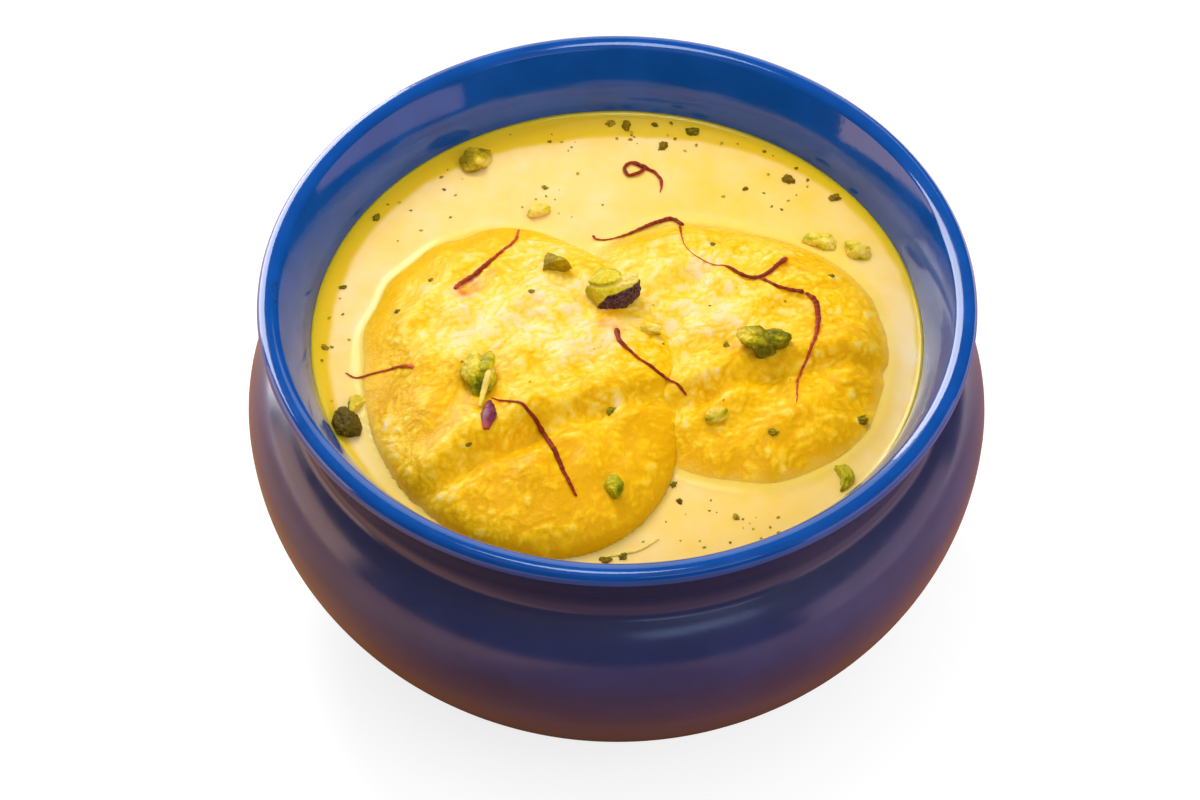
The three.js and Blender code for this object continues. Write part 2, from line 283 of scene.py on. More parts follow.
def spread(tree, value, low, high, to_low=0.0, to_high=1.0):
    """value carried from one range to another, and kept inside it."""
    inputs = {"Value": value, "From Min": low, "From Max": high, "To Min": to_low, "To Max": to_high}
    return add_node(tree, "ShaderNodeMapRange", inputs).outputs["Result"]


def arithmetic(tree, operation, first, second):
    return add_node(tree, "ShaderNodeMath", {0: first, 1: second}, operation=operation).outputs[0]


def ramp(tree, value, colours):
    """Colours along a value, as {place: colour}, with places from 0 to 1."""
    node = add_node(tree, "ShaderNodeValToRGB", {"Fac": value})
    elements = node.color_ramp.elements
    places = sorted(colours)
    for place in places[1:-1]:
        elements.new(place)
    for element, place in zip(elements, places):
        element.color = (*colours[place], 1)
    return node.outputs["Color"]


def blend(tree, share, first, second):
    """Mixes two colours, each a node's output or three numbers."""
    colours = [c if isinstance(c, bpy.types.NodeSocket) else (*c, 1) for c in (first, second)]
    inputs = {0: share, 6: colours[0], 7: colours[1]}
    return add_node(tree, "ShaderNodeMix", inputs, data_type="RGBA").outputs[2]


def dress(tree, shader, colour, relief, depth):
    """Gives a shader its colour, and fine relief from a height of 0 to 1, depth in millimetres."""
    tree.links.new(colour, shader["Base Color"])
    inputs = {"Height": relief, "Distance": depth * MM, "Strength": 1.0}
    tree.links.new(add_node(tree, "ShaderNodeBump", inputs).outputs["Normal"], shader["Normal"])


# ---------------------------------------------------------------- the bowl


def inner_profile():
    """The inner wall from the rim's top down to the middle of the floor."""
    top = HEIGHT - lip.roundness
    flare_top = np.array([lip.radius - 0.897 * lip.inner_width, top + 0.441 * lip.roundness])
    neck = np.array([inside.neck, inside.neck_height])
    widest = np.array([belly.radius - inside.wall, belly.height])
    floor_middle = (widest[0] - inside.floor_width, widest[1])
    floor_arc = arc(floor_middle, (inside.floor_width, inside.floor_depth), 0, -62, 24)
    flare = sweep(flare_top, flare_top - (2.2, 3.3), neck + (0, 5.5), neck, 24)
    upper_wall = sweep(neck, neck - (0, 4), widest + (0, 7), widest, 14)
    return np.vstack([flare_top, flare, upper_wall, floor_arc[1:], (0, inside.floor)])


def foot_profile():
    """The foot ring's section, from the middle of the underside out to the belly."""
    edge = 0.5
    return [
        (0, foot.recess),
        (foot.inner - 0.8, foot.recess),
        (foot.inner - 0.3, edge),
        (foot.inner + 0.3, 0),
        (foot.outer - edge, 0),
        (foot.outer + 0.05, edge),
    ]


def bowl_profile():
    """The whole section of the bowl, from the middle of the foot's underside round to the floor."""
    lower_middle = (belly.radius - belly.lower_width, belly.height)
    lower_arc = arc(lower_middle, (belly.lower_width, belly.lower_depth), -belly.lower_end, 0, 34)
    shoulder_middle = (belly.radius - shoulder.width, belly.height)
    shoulder_arc = arc(shoulder_middle, (shoulder.width, shoulder.rise), 0, shoulder.end, 16)
    lip_middle = (lip.radius, HEIGHT - lip.roundness)
    lip_outer = arc(lip_middle, (lip.roundness, lip.roundness), -35, 90, 20)
    lip_inner = arc(lip_middle, (lip.inner_width, lip.roundness), 90, 154, 16)
    neck_start, neck_end = shoulder_arc[-1], lip_outer[0]
    neck = sweep(neck_start, neck_start + (-3, 1.9), neck_end + (-2.3, -3.3), neck_end, 22)
    outer = [foot_profile(), lower_arc, shoulder_arc[1:], neck, lip_outer[1:], lip_inner[1:-1]]
    return np.vstack([*outer, inner_profile()])


def turned(profile, count):
    """Points and faces of a section turned about +Z in steps. It starts and ends on the axis."""
    angle = np.arange(count) * 2 * math.pi / count
    rings = profile[1:-1]
    x = rings[:, :1] * np.cos(angle)
    y = rings[:, :1] * np.sin(angle)
    z = np.repeat(rings[:, 1:], count, axis=1)
    points = np.stack([x, y, z], axis=-1).reshape(-1, 3)
    points = np.vstack([points, (0, 0, profile[0][1]), (0, 0, profile[-1][1])])
    first, last = len(points) - 2, len(points) - 1
    here = np.arange(count)
    beside = np.roll(here, -1)
    top = (len(rings) - 1) * count
    faces = [[first, int(b), int(a)] for a, b in zip(here, beside)]
    faces += strips(count, len(rings))
    faces += [[int(a) + top, int(b) + top, last] for a, b in zip(here, beside)]
    return points, faces


def strips(count, rings):
    """Quads between rings of count points each, which lie one after the other."""
    here = np.arange(count)
    beside = np.roll(here, -1)
    faces = []
    for low in range(0, (rings - 1) * count, count):
        corners = [here + low, beside + low, beside + low + count, here + low + count]
        faces += np.stack(corners, axis=1).tolist()
    return faces


def glaze_material():
    """Deep blue glaze, painted duller on the belly and the shoulder as painted shade and painted
    reflection, with a few dark pinholes on the rim.
    """
    material, tree, shader = material_of("glaze", {"IOR": 1.56})
    on_rim = attribute(tree, "rim")
    cloud = spread(tree, grain(tree, 9, detail=4), 0.35, 0.65)
    # The rim and the inner wall keep the bright blue. The belly's darker, warmer blue is painted shade with
    # a painted warm reflection, and the shoulder's greyer blue is a painted reflection.
    rim_blue = blend(tree, cloud, (0.004, 0.066, 0.31), (0.006, 0.080, 0.37))
    belly_blue_painted_shade = blend(tree, cloud, (0.024, 0.036, 0.128), (0.030, 0.044, 0.160))
    colour = blend(tree, attribute(tree, "shoulder"), belly_blue_painted_shade, (0.034, 0.037, 0.100))
    colour = blend(tree, on_rim, colour, rim_blue)
    ragged = spread(tree, grain(tree, 0.5, detail=2), 0.4, 0.6)
    dark = arithmetic(tree, "MULTIPLY", attribute(tree, "pinholes"), ragged)
    colour = blend(tree, dark, colour, (0.018, 0.022, 0.018))
    uneven = spread(tree, grain(tree, 5, detail=3), 0.3, 0.7, -0.03, 0.03)
    roughness = arithmetic(tree, "ADD", spread(tree, on_rim, 0, 1, 0.21, 0.10), uneven)
    tree.links.new(roughness, shader["Roughness"])
    fine = arithmetic(tree, "MULTIPLY", grain(tree, 0.9, detail=2), 0.35)
    ripple = arithmetic(tree, "ADD", grain(tree, 14, detail=1), fine)
    dress(tree, shader, colour, ripple, depth=0.03)
    return material


def clay_material():
    """Bare fired clay on the foot ring."""
    material, tree, shader = material_of("bare_clay", {"Roughness": 0.8})
    speckle = spread(tree, grain(tree, 0.8, detail=4), 0.35, 0.7)
    colour = blend(tree, speckle, (0.42, 0.27, 0.16), (0.62, 0.47, 0.33))
    dress(tree, shader, colour, grain(tree, 0.4), depth=0.06)
    return material


def glaze_values(points):
    """Where the glaze has its rim's colour, its shoulder's painted reflection, or dark pinholes. Below the
    rim and off the inner wall it has the belly's painted shade.
    """
    height = points[:, 2]
    behind_wall = np.hypot(points[:, 0], points[:, 1]) - wall_radius(height)
    on_inner_wall = smoothstep(behind_wall, 1.6, 0.8)
    near_rim = smoothstep(height, HEIGHT - 6, HEIGHT - 3)
    spots = [(-57.2, 0.6, 0.8, 1.0), (-56.6, -2.2, 0.7, 0.8), (-57.8, -0.8, 0.5, 0.7)]
    return {
        "pinholes": np.clip(blobs(points, spots), 0, 1) * near_rim,
        "rim": np.maximum(smoothstep(height, HEIGHT - 6, HEIGHT - 2), on_inner_wall),
        "shoulder": 0.85 * smoothstep(height, 47, 57),
    }


def make_bowl():
    points, faces = turned(bowl_profile(), count=288)
    materials = [glaze_material(), clay_material()]
    bowl = mesh_object("glazed_bowl", points, faces, materials, glaze_values(points))
    clay_top = 0.6
    for face in bowl.data.polygons:
        middle = face.center / MM
        if middle.z < clay_top and middle.xy.length > foot.inner - 0.5:
            face.material_index = 1
    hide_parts("bowl")


# ---------------------------------------------------------------- the patties' form


def polar(patty, x, y):
    """Direction in radians and distance from a patty's centre."""
    dx, dy = x - patty.centre[0], y - patty.centre[1]
    return np.arctan2(dy, dx), np.hypot(dx, dy)


def outline_radius(patty, angle):
    """Distance from a patty's centre to its outline."""
    total = patty.radius
    for times, size, phase in patty.outline:
        total = total + size * np.cos(times * angle - math.radians(phase))
    return total


def lump_height(x, y, shift):
    """The broad lumps of the sponge."""
    height = 0
    for i in range(lumps.waves):
        turn = i * lumps.turn + shift
        pitch = 2 * math.pi / (lumps.longest * lumps.shorten**i)
        along = x * math.cos(turn) + y * math.sin(turn)
        height = height + np.sin(pitch * along + i * lumps.shift + shift)
    return lumps.height * height


def crease_height(x, y, crease):
    """The fold across a patty: a groove, a ridge behind it, and a lower tier in front of it."""
    turn = math.radians(crease.angle)
    dx = x - crease.middle[0]
    dy = y - crease.middle[1]
    along = dx * math.cos(turn) + dy * math.sin(turn)
    bow = crease.bow * (1 - (along / crease.half_length) ** 2)
    across = -dx * math.sin(turn) + dy * math.cos(turn) - np.maximum(bow, -3 * crease.bow)
    past = np.maximum(0, np.abs(along) - crease.half_length)
    strength = np.exp(-((past / crease_shape.fade) ** 2))
    groove = crease.depth * np.exp(-((across / crease_shape.groove_width) ** 2))
    ridge = crease.ridge * np.exp(-(((across - crease_shape.ridge_away) / crease_shape.ridge_width) ** 2))
    step = crease.step * 0.5 * (np.tanh(across / crease_shape.step_width) - 1)
    return strength * (ridge - groove + step)


def rise_at(patty, x, y, reach):
    """How far the top would stand over the milk here if its rim were not rounded."""
    angle, distance = polar(patty, x, y)
    t = distance * np.cos(angle - math.radians(patty.lean_to)) / patty.radius
    facing = np.maximum(0, np.cos(angle - math.radians(patty.margin.towards)))
    share = patty.margin.always + (1 - patty.margin.always) * facing
    sunk = patty.margin.drop * share * smoothstep(reach, patty.margin.start, 1)
    return patty.rise.middle + patty.rise.gain * t - patty.rise.loss * t * t - sunk


def patty_reach(patty, x, y):
    """0 in a patty's middle, 1 on its outline."""
    angle, distance = polar(patty, x, y)
    return distance / outline_radius(patty, angle)


def patty_surface(patty, x, y, side):
    """Height of a patty's upper (side 1) or lower (side -1) surface."""
    reach = patty_reach(patty, x, y)
    power = 2 / ROUNDING
    dome = np.maximum(0, 1 - np.minimum(reach, 1) ** power) ** (1 / power)
    middle = MILK_LEVEL - patty.waist
    if side < 0:
        return middle - dome * (patty.sink - patty.waist)
    left = 1 - lumps.calm * smoothstep(reach, 0.5, 0.95)
    relief = left * lump_height(x, y, patty.relief_shift) + crease_height(x, y, patty.crease)
    return middle + dome * (rise_at(patty, x, y, reach) + patty.waist + relief)


def patty_points(patty, angle, distance, side):
    """Points of a patty's upper or lower surface, by direction and distance from its centre."""
    x = patty.centre[0] + distance * np.cos(angle)
    y = patty.centre[1] + distance * np.sin(angle)
    return np.stack([x, y, patty_surface(patty, x, y, side)], axis=-1)


def even_reach(share):
    """Reach of rings that lie evenly along a pillow's curved section."""
    turn = np.linspace(0, math.pi / 2, 4000)
    reach = np.sin(turn) ** ROUNDING
    dome = np.cos(turn) ** ROUNDING
    thickness = 9 / 32  # half a pillow's thickness over its radius
    step = np.hypot(np.diff(reach), thickness * np.diff(dome))
    length = np.concatenate([[0], np.cumsum(step)])
    return np.interp(share, length / length[-1], reach)


# ---------------------------------------------------------------- the curd

GRAIN_TURN = math.radians(24)
GRAIN_STRETCH = 1.2
# Folds, flakes and crumbs: their size and depth in mm, where in the noise they start, and how much
# they count in the tone.
curd_grades = [
    Named(size=4.0, depth=0.26, shift=0, tone=0.6),
    Named(size=1.9, depth=0.25, shift=17, tone=1.0),
    Named(size=0.95, depth=0.15, shift=53, tone=0.6),
]


def curd(points):
    """The crinkled curd: relief in mm, and tone from about -1 in wet creases to 1 on dry flakes."""
    cosine, sine = math.cos(GRAIN_TURN), math.sin(GRAIN_TURN)
    x, y, z = points.T
    turned_points = np.stack([(x * cosine + y * sine) / GRAIN_STRETCH, y * cosine - x * sine, z], axis=1)
    bend = np.stack([noise(turned_points / 5.5 + 31 * k) for k in range(3)], axis=1)
    warped = turned_points + 1.1 * bend
    relief = 0
    tone = 0.4 * noise(turned_points / 8 + 71)
    for grade in curd_grades:
        crinkle = np.abs(noise(warped / grade.size + grade.shift)) - 0.3
        relief = relief + grade.depth * crinkle
        tone = tone + grade.tone * crinkle
    return relief, tone


def patty_top(patty, steps):
    """A patty's smooth upper surface: points, their normals and directions, quads and rim."""
    x, y, quads, rim = disc_grid(steps)
    angle = np.arctan2(y, x)
    distance = even_reach(np.hypot(x, y)) * outline_radius(patty, angle)
    top = patty_points(patty, angle, distance, side=1)
    normals = point_normals(top, quads)
    if normals[len(normals) // 2, 2] < 0:
        normals = -normals
    return top, normals, angle, quads, rim


def patty_underside(patty, angle):
    """Rings of points from a patty's rim inwards on its underside, and its lowest point."""
    count = 12
    rings = []
    for i in range(count, 0, -1):
        distance = even_reach(i / (count + 1)) * outline_radius(patty, angle)
        rings.append(patty_points(patty, angle, distance, side=-1))
    return rings, np.array([[*patty.centre, MILK_LEVEL - patty.sink]])


def wetness(patty, top, angle, relief):
    """How dry each point of a patty's top is, how covered by milk, and how soaked and smooth."""
    over_milk = top[:, 2] - MILK_LEVEL
    dry = smoothstep(over_milk, 0.2, 3.0)
    ragged = over_milk + 0.9 * relief - 0.5 * noise(top / 2.4 + 11)
    creep = around(angle, patty.film)
    film = creep * smoothstep(ragged, 0.8 + 1.8 * creep, 0.1)
    uneven = over_milk + 0.6 * noise(top / 3 + 29)
    soaked = around(angle, patty.soaked) * smoothstep(uneven, 2.8, 1.2)
    return dry, film, soaked


def make_patty(name, node, patty, zones, stains, steps):
    """A soft cheese patty. zones are creamier or yellower spots, partly painted light and shade, and stains
    are where saffron has bled.
    """
    top, normals, angle, quads, rim = patty_top(patty, steps)
    relief, tone = curd(top)
    dry, film, soaked = wetness(patty, top, angle, relief)
    relief = relief * (0.15 + 0.85 * dry) * (1 - 0.5 * film) * (1 - 0.85 * soaked)
    relief = relief * smoothstep(top[:, 2] - MILK_LEVEL, -1.6, -0.4)
    top = top + normals * relief[:, None]

    # Steep sides are painted yellower: painted shade.
    steepness = 1 - normals[:, 2]
    tone = tone + blobs(top, zones) - 0.5 * smoothstep(steepness, 0.2, 0.9) - 0.35 * (1 - dry)
    tone = tone * (1 - 0.7 * soaked) - 0.45 * soaked
    stain = np.clip(blobs(top, stains) * (0.8 + 0.5 * noise(top / 1.4)), 0, 1)
    points, faces = close_below(top, quads, rim, *patty_underside(patty, angle[rim]))
    values = {"tone": tone, "stain": stain, "dry": dry, "film": film}
    piece = mesh_object(name, points, faces, [sponge], values)
    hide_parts(node)
    return piece


def sponge_material():
    """Moist cheese sponge: cream on its dry flakes, saffron yellow in its wet creases."""
    settings = {
        "Subsurface Weight": 0.4,
        "Subsurface Radius": (2.2, 1.4, 0.4),
        "Subsurface Scale": MM,
        "IOR": 1.4,
        "Specular IOR Level": 0.22,
        "Specular Tint": (1.0, 0.85, 0.45, 1),
    }
    material, tree, shader = material_of("cheese_sponge", settings)
    fine = spread(tree, grain(tree, 0.7, detail=4), 0.3, 0.7, -0.16, 0.16)
    tone = arithmetic(tree, "ADD", attribute(tree, "tone"), fine)
    colours = {
        0: (0.82, 0.42, 0.001),
        0.34: (0.94, 0.55, 0.004),
        0.6: (0.97, 0.64, 0.07),
        1: (0.98, 0.68, 0.34),
    }
    colour = ramp(tree, spread(tree, tone, -0.8, 0.65), colours)
    colour = blend(tree, attribute(tree, "film"), colour, (0.96, 0.64, 0.13))
    colour = blend(tree, attribute(tree, "stain"), colour, (0.90, 0.21, 0.001))
    roughness = spread(tree, attribute(tree, "dry"), 0.0, 1.0, 0.16, 0.36)
    tree.links.new(roughness, shader["Roughness"])
    dress(tree, shader, colour, grain(tree, 0.45, detail=3), depth=0.11)
    return material


# ---------------------------------------------------------------- the milk

# How far the painted shade along the milk's edge, a deep gold, reaches in from the wall:
# (direction in degrees, mm). It stands for the rim's shadow and the shade by the wall.
painted_shade_margin = [
    (0, 1.2), (30, 1.7), (50, 2.8), (65, 4.2), (83, 5.9), (103, 6.3), (117, 5.2), (130, 4.0),
    (150, 3.5), (180, 3.4), (197, 2.6), (215, 1.5), (235, 0.7), (270, 0.2), (325, 0.4),
]

# Where the milk is yellower, or with a negative strength creamier: (x, y, radius, strength).
# The creamier spot at the left front is painted light on milk that lies in shade.
milk_zones_with_painted_light = [
    (24, 31, 15, 0.45),
    (-40, -24, 10, -0.6),
    (24, -39, 14, 0.35),
    (48, -3, 11, -0.7),
    (38, 16, 10, 0.3),
    (-46, 5, 8, -0.2),
    (8, 27, 9, 0.2),
]


def wall_radius(z):
    """Radius of the inner wall at a height."""
    wall = inner_profile()[::-1]
    return np.interp(z, wall[:, 1], wall[:, 0])


def waterline(patty, angle):
    """Distance from a patty's centre at which its top meets the milk's level."""
    shares = np.linspace(0.4, 1, 121)
    distance = shares[:, None] * outline_radius(patty, angle)
    above = patty_points(patty, angle, distance, side=1)[..., 2] > MILK_LEVEL
    last = len(shares) - 1 - np.argmax(above[::-1], axis=0)
    return np.take_along_axis(distance, last[None], axis=0)[0]


def cover_of(patty, angle, distance):
    """1 over a patty's edge, and less away from it on the milk. It is wider where milk creeps up."""
    turns = np.linspace(-math.pi, math.pi, 361)
    beyond = distance - np.interp(angle, turns, waterline(patty, turns))
    width = 0.5 + 2.6 * around(angle, patty.film)
    return np.exp(-((np.maximum(beyond, 0) / width) ** 2))


def milk_surface(flat, from_wall):
    """Height of the milk, and how much milk there is over the patties' edges.

    The milk climbs a little at the wall and beside the patties, and has hollows under them.
    """
    x, y = flat[:, 0], flat[:, 1]
    height = MILK_LEVEL + 0.05 * noise(flat / 13) + 0.55 * np.exp(-from_wall / 0.8)
    cover = np.zeros(len(flat))
    for patty in (left_patty, right_patty):
        angle, distance = polar(patty, x, y)
        beside = cover_of(patty, angle, distance)
        cover = np.maximum(cover, beside)
        height = height + 0.5 * beside * around(angle, patty.film)
        within = patty_reach(patty, x, y) < 1
        over = patty_surface(patty, x, y, 1) - MILK_LEVEL
        height = height + np.where(within & (over < 0.6), 0.2 * np.exp(np.minimum(over, 0) / 0.4), 0)
        hollow = patty_surface(patty, x, y, -1) - GAP
        height = np.where(within & (over > 1.2), np.minimum(height, hollow), height)
    return height, cover


def milk_underside(angle):
    """Rings of points down the bowl's inner wall, a gap away from it, and the lowest point."""
    wall = inner_profile()
    below = wall[wall[:, 1] < MILK_LEVEL - 0.8]
    rings = []
    for r, z in below[:-1:3]:
        ring = [(r - GAP) * np.cos(angle), (r - GAP) * np.sin(angle), np.full(len(angle), z + GAP)]
        rings.append(np.stack(ring, axis=1))
    return rings, np.array([[0, 0, inside.floor + GAP]])


def make_milk():
    x, y, quads, rim = disc_grid(steps=236)
    into_wall = 0.15
    radius = wall_radius(MILK_LEVEL) + into_wall
    flat = np.stack([x * radius, y * radius, np.full(len(x), 0.5)], axis=1)
    from_wall = radius - np.hypot(flat[:, 0], flat[:, 1])
    height, cover = milk_surface(flat, from_wall)
    top = np.stack([flat[:, 0], flat[:, 1], height], axis=1)
    angle = np.arctan2(y, x)
    # The margin is painted shade: a deep gold edge where the rim's shadow falls on the milk.
    shade_reach_in = around(angle, painted_shade_margin) + 0.3 * noise(flat / 4 + 5)
    values = {
        "cover": 0.6 * cover,
        "margin": 0.94 * smoothstep(shade_reach_in - from_wall, -0.5, 0.6),
        # The yellow spots include painted light at the left front.
        "yellow": blobs(top, milk_zones_with_painted_light) + 0.3 * noise(flat / 6 + 3) + 0.16 * noise(flat / 2.2 + 8),
    }
    points, faces = close_below(top, quads, rim, *milk_underside(angle[rim]))
    milk = mesh_object("saffron_milk", points, faces, [milk_material()], values)
    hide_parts("milk")
    return milk


def milk_material():
    """Thick saffron milk: glossy, light goes some way into it, and a deep gold painted shade lies along its
    edge by the wall.
    """
    settings = {
        "Subsurface Weight": 0.6,
        "Subsurface Radius": (2.4, 1.6, 0.5),
        "Subsurface Scale": MM,
        "Roughness": 0.16,
        "IOR": 1.36,
        "Specular Tint": (1.0, 0.93, 0.7, 1),
    }
    material, tree, shader = material_of("saffron_milk", settings)
    colours = {0: (0.97, 0.77, 0.47), 0.5: (0.97, 0.67, 0.23), 1: (0.95, 0.60, 0.05)}
    colour = ramp(tree, spread(tree, attribute(tree, "yellow"), -0.8, 0.8), colours)
    # Painted shade by the wall, in deep gold.
    colour = blend(tree, attribute(tree, "margin"), colour, (0.80, 0.52, 0.005))
    colour = blend(tree, attribute(tree, "cover"), colour, (0.95, 0.62, 0.06))
    dress(tree, shader, colour, grain(tree, 2.5, detail=3), depth=0.05)
    return material


# ---------------------------------------------------------------- pistachio


def chopped(**given):
    """A piece's numbers, with what most pieces share."""
    usual = {"chips": 7, "sides": [], "knobs": [], "tints": [], "taper": 0, "bend": 0}
    return Named(**(usual | given))


# base, at, half, turn and proud are as in the part, or close to it: what a piece lies on, its place,
# its half sizes, its turn in degrees and how much of it stands out. chips is how many flat cuts it
# has by chance, and sides are more: (direction in degrees, depth). Knobs, in mm, and tints are
# round spots on the face that lies up and to the front: (across, up, radius, amount). tone runs
# from 0 for cream through lime and green to 1 for dark olive, brown from 0 for green to 1 for brown,
# and mottle is how much the tone varies.
nuts = [
    chopped(
        name="skinned_half", base="left", at=(-1.0, 3.6), half=(5.2, 3.9, 3.2), turn=12, proud=0.42,
        tone=0.21, brown=0, mottle=0.5,
    ),
    chopped(
        name="left_chunk", base="left", at=(-22.9, -15.1), half=(2.9, 4.6, 2.4), turn=14, proud=0.4,
        tone=0.46, brown=0.1, mottle=1.7,
        knobs=[(0.7, 0.75, 0.3, 1.2), (0.3, 0.95, 0.22, -1.0), (-0.8, -0.5, 0.3, -0.5),
               (0.1, -0.9, 0.3, 0.5)],
        tints=[(-0.65, 0.2, 0.5, -0.34), (-0.15, 0.85, 0.4, -0.3), (0.75, 0.2, 0.4, -0.3),
               (0.2, 0.3, 0.25, 0.2), (-0.05, -0.35, 0.35, 0.34), (0, 0.35, 0.2, -0.1)],
    ),
    chopped(
        name="right_chunk", base="right", at=(24.1, -7.6), half=(4.9, 2.9, 2.3), turn=-8, proud=0.4,
        tone=0.66, brown=0.3, mottle=1.5,
        knobs=[(0.2, 0.9, 0.2, -1.0), (-0.1, -0.8, 0.3, 0.7), (0.8, 0.35, 0.3, 0.5), (0.6, -0.7, 0.3, -1.0),
               (-0.65, -0.75, 0.35, -0.9)],
        tints=[(-0.8, 0.2, 0.5, -0.5), (-0.4, 0.6, 0.4, -0.24), (0.52, 0.3, 0.12, -0.3),
               (0, -0.5, 0.4, 0.14), (-0.15, 0.1, 0.15, -0.2)],
    ),
    chopped(
        name="dark_wedge", base="left", at=(-10.4, 10.2), half=(3.2, 2.2, 1.6), turn=-10, proud=0.4,
        tone=0.52, brown=0.8, mottle=0.7, chips=3, sides=[(180, 0.6), (62, 0.42), (-62, 0.42)],
        tints=[(-0.6, 0.2, 0.35, 0.12), (0.2, 0.5, 0.3, -0.1), (0.7, 0, 0.4, -0.12)],
    ),
    chopped(
        name="front_chip", base="left", at=(-0.5, -36.3), half=(1.5, 2.7, 1.4), turn=5, proud=0.35,
        tone=0.44, brown=0, mottle=0.6, taper=0.5, chips=2,
        tints=[(-0.6, 0.1, 0.5, -0.16), (0.65, 0, 0.4, 0.3), (0, 0.8, 0.3, -0.1)],
    ),
    chopped(
        name="pale_chip", base="right", at=(16.4, -20.6), half=(2.2, 1.5, 1.1), turn=40, proud=0.35,
        tone=0.16, brown=0.4, mottle=0.8,
        tints=[(-0.7, -0.3, 0.4, 0.34), (0.8, 0.3, 0.35, 0.4)],
    ),
    chopped(
        name="small_chip", base="left", at=(5.6, -3.9), half=(1.9, 1.3, 1.0), turn=-20, proud=0.35,
        tone=0.12, brown=0.3, mottle=0.6,
        tints=[(0.5, -0.6, 0.4, 0.34), (0.5, 0.5, 0.4, -0.12), (-0.7, -0.2, 0.3, 0.1)],
    ),
    chopped(
        name="wall_chunk", base="milk", at=(-44.7, -20.0), half=(2.3, 3.6, 1.6), turn=22, proud=0.3,
        tone=0.93, brown=0.8, mottle=0.9, taper=0.1, chips=2,
    ),
    chopped(
        name="wall_flake", base="milk", at=(-43.6, -15.9), half=(2.7, 1.9, 1.1), turn=70, proud=0.3,
        tone=0.16, brown=0.4, mottle=0.5, chips=2, sides=[(0, 0.75), (118, 0.52), (242, 0.52)],
        tints=[(-0.7, 0.4, 0.4, 0.4), (0.2, 0.9, 0.3, 0.2)],
    ),
    chopped(
        name="olive_chunk", base="milk", at=(-24.6, 39.6), half=(3.3, 2.7, 1.6), turn=40, proud=0.3,
        tone=0.34, brown=0.7, mottle=1.2,
        knobs=[(-0.5, 0.6, 0.3, 0.4), (0.5, -0.8, 0.4, -0.8), (0.2, 0.2, 0.25, 0.5)],
        tints=[(-0.6, 0.4, 0.5, 0.35), (0.4, 0.9, 0.35, 0.42), (-0.1, -0.9, 0.3, 0.3),
               (0.2, 0.2, 0.3, -0.24), (0.9, -0.2, 0.45, -0.3)],
    ),
    chopped(
        name="back_chip", base="milk", at=(-13.5, 27.9), half=(2.2, 1.5, 1.1), turn=25, proud=0.3,
        tone=0.04, brown=0.1, mottle=0.5, knobs=[(0.1, -0.6, 0.35, -0.5)],
        tints=[(-0.8, 0, 0.35, 0.26), (0, 0.9, 0.4, 0.2), (0.8, 0.2, 0.35, 0.3)],
    ),
    chopped(
        name="green_chip", base="milk", at=(35.4, 20.7), half=(3.2, 1.9, 1.2), turn=-8, proud=0.3,
        tone=0.13, brown=0.1, mottle=1.2, knobs=[(0.1, 0.7, 0.3, -0.7), (-0.5, -0.8, 0.35, -0.5)],
        tints=[(-0.8, 0.3, 0.3, 0.34), (-0.2, -0.4, 0.25, 0.26), (0.6, 0.3, 0.3, -0.2)],
    ),
    chopped(
        name="green_flake", base="milk", at=(41.5, 18.6), half=(3.1, 1.9, 1.2), turn=-32, proud=0.3,
        tone=0.12, brown=0.15, mottle=0.8, sides=[(90, 0.7), (205, 0.7)],
        tints=[(-0.7, 0.4, 0.4, 0.3), (0, -0.8, 0.3, 0.34), (0.4, 0, 0.3, -0.1)],
    ),
    chopped(
        name="sliver", base="milk", at=(36.7, -30.8), half=(1.25, 3.3, 1.1), turn=12, proud=0.3,
        tone=0.36, brown=0.1, mottle=0.7, bend=0.7,
        tints=[(0, 0.8, 0.5, 0.1), (0.3, -0.3, 0.4, -0.16), (-0.2, -0.7, 0.2, 0.2)],
    ),
]


def surface_height(base, x, y):
    if base == "milk":
        return MILK_LEVEL
    patty = {"left": left_patty, "right": right_patty}[base]
    return float(patty_surface(patty, np.float64(x), np.float64(y), 1))


def unit_ball(subdivisions):
    shape = bmesh.new()
    bmesh.ops.create_icosphere(shape, subdivisions=subdivisions, radius=1)
    points = np.array([vertex.co[:] for vertex in shape.verts])
    faces = [[vertex.index for vertex in face.verts] for face in shape.faces]
    shape.free()
    return points, faces


def chop(ball, random, chips, sides):
    """A ball with flat cuts: the given upright ones, and others by chance."""
    chance = random.normal(size=(chips, 3)) * (1, 1, 0.8)
    chance /= np.linalg.norm(chance, axis=1, keepdims=True)
    depths = random.uniform(0.64, 0.92, size=len(chance))
    upright = [(math.cos(math.radians(turn)), math.sin(math.radians(turn)), 0.12) for turn, _ in sides]
    directions = np.vstack([chance, *upright])
    depths = np.concatenate([depths, [depth for _, depth in sides]])
    past = np.maximum(ball @ directions.T, 0) / depths
    sharpness = 22
    reach = (1 + (past**sharpness).sum(axis=1)) ** (-1 / sharpness)
    return ball * reach[:, None]


def rotated(points, degrees):
    """Points turned about +Z."""
    turn = math.radians(degrees)
    x = points[:, 0] * math.cos(turn) - points[:, 1] * math.sin(turn)
    y = points[:, 0] * math.sin(turn) + points[:, 1] * math.cos(turn)
    return np.stack([x, y, points[:, 2]], axis=1)


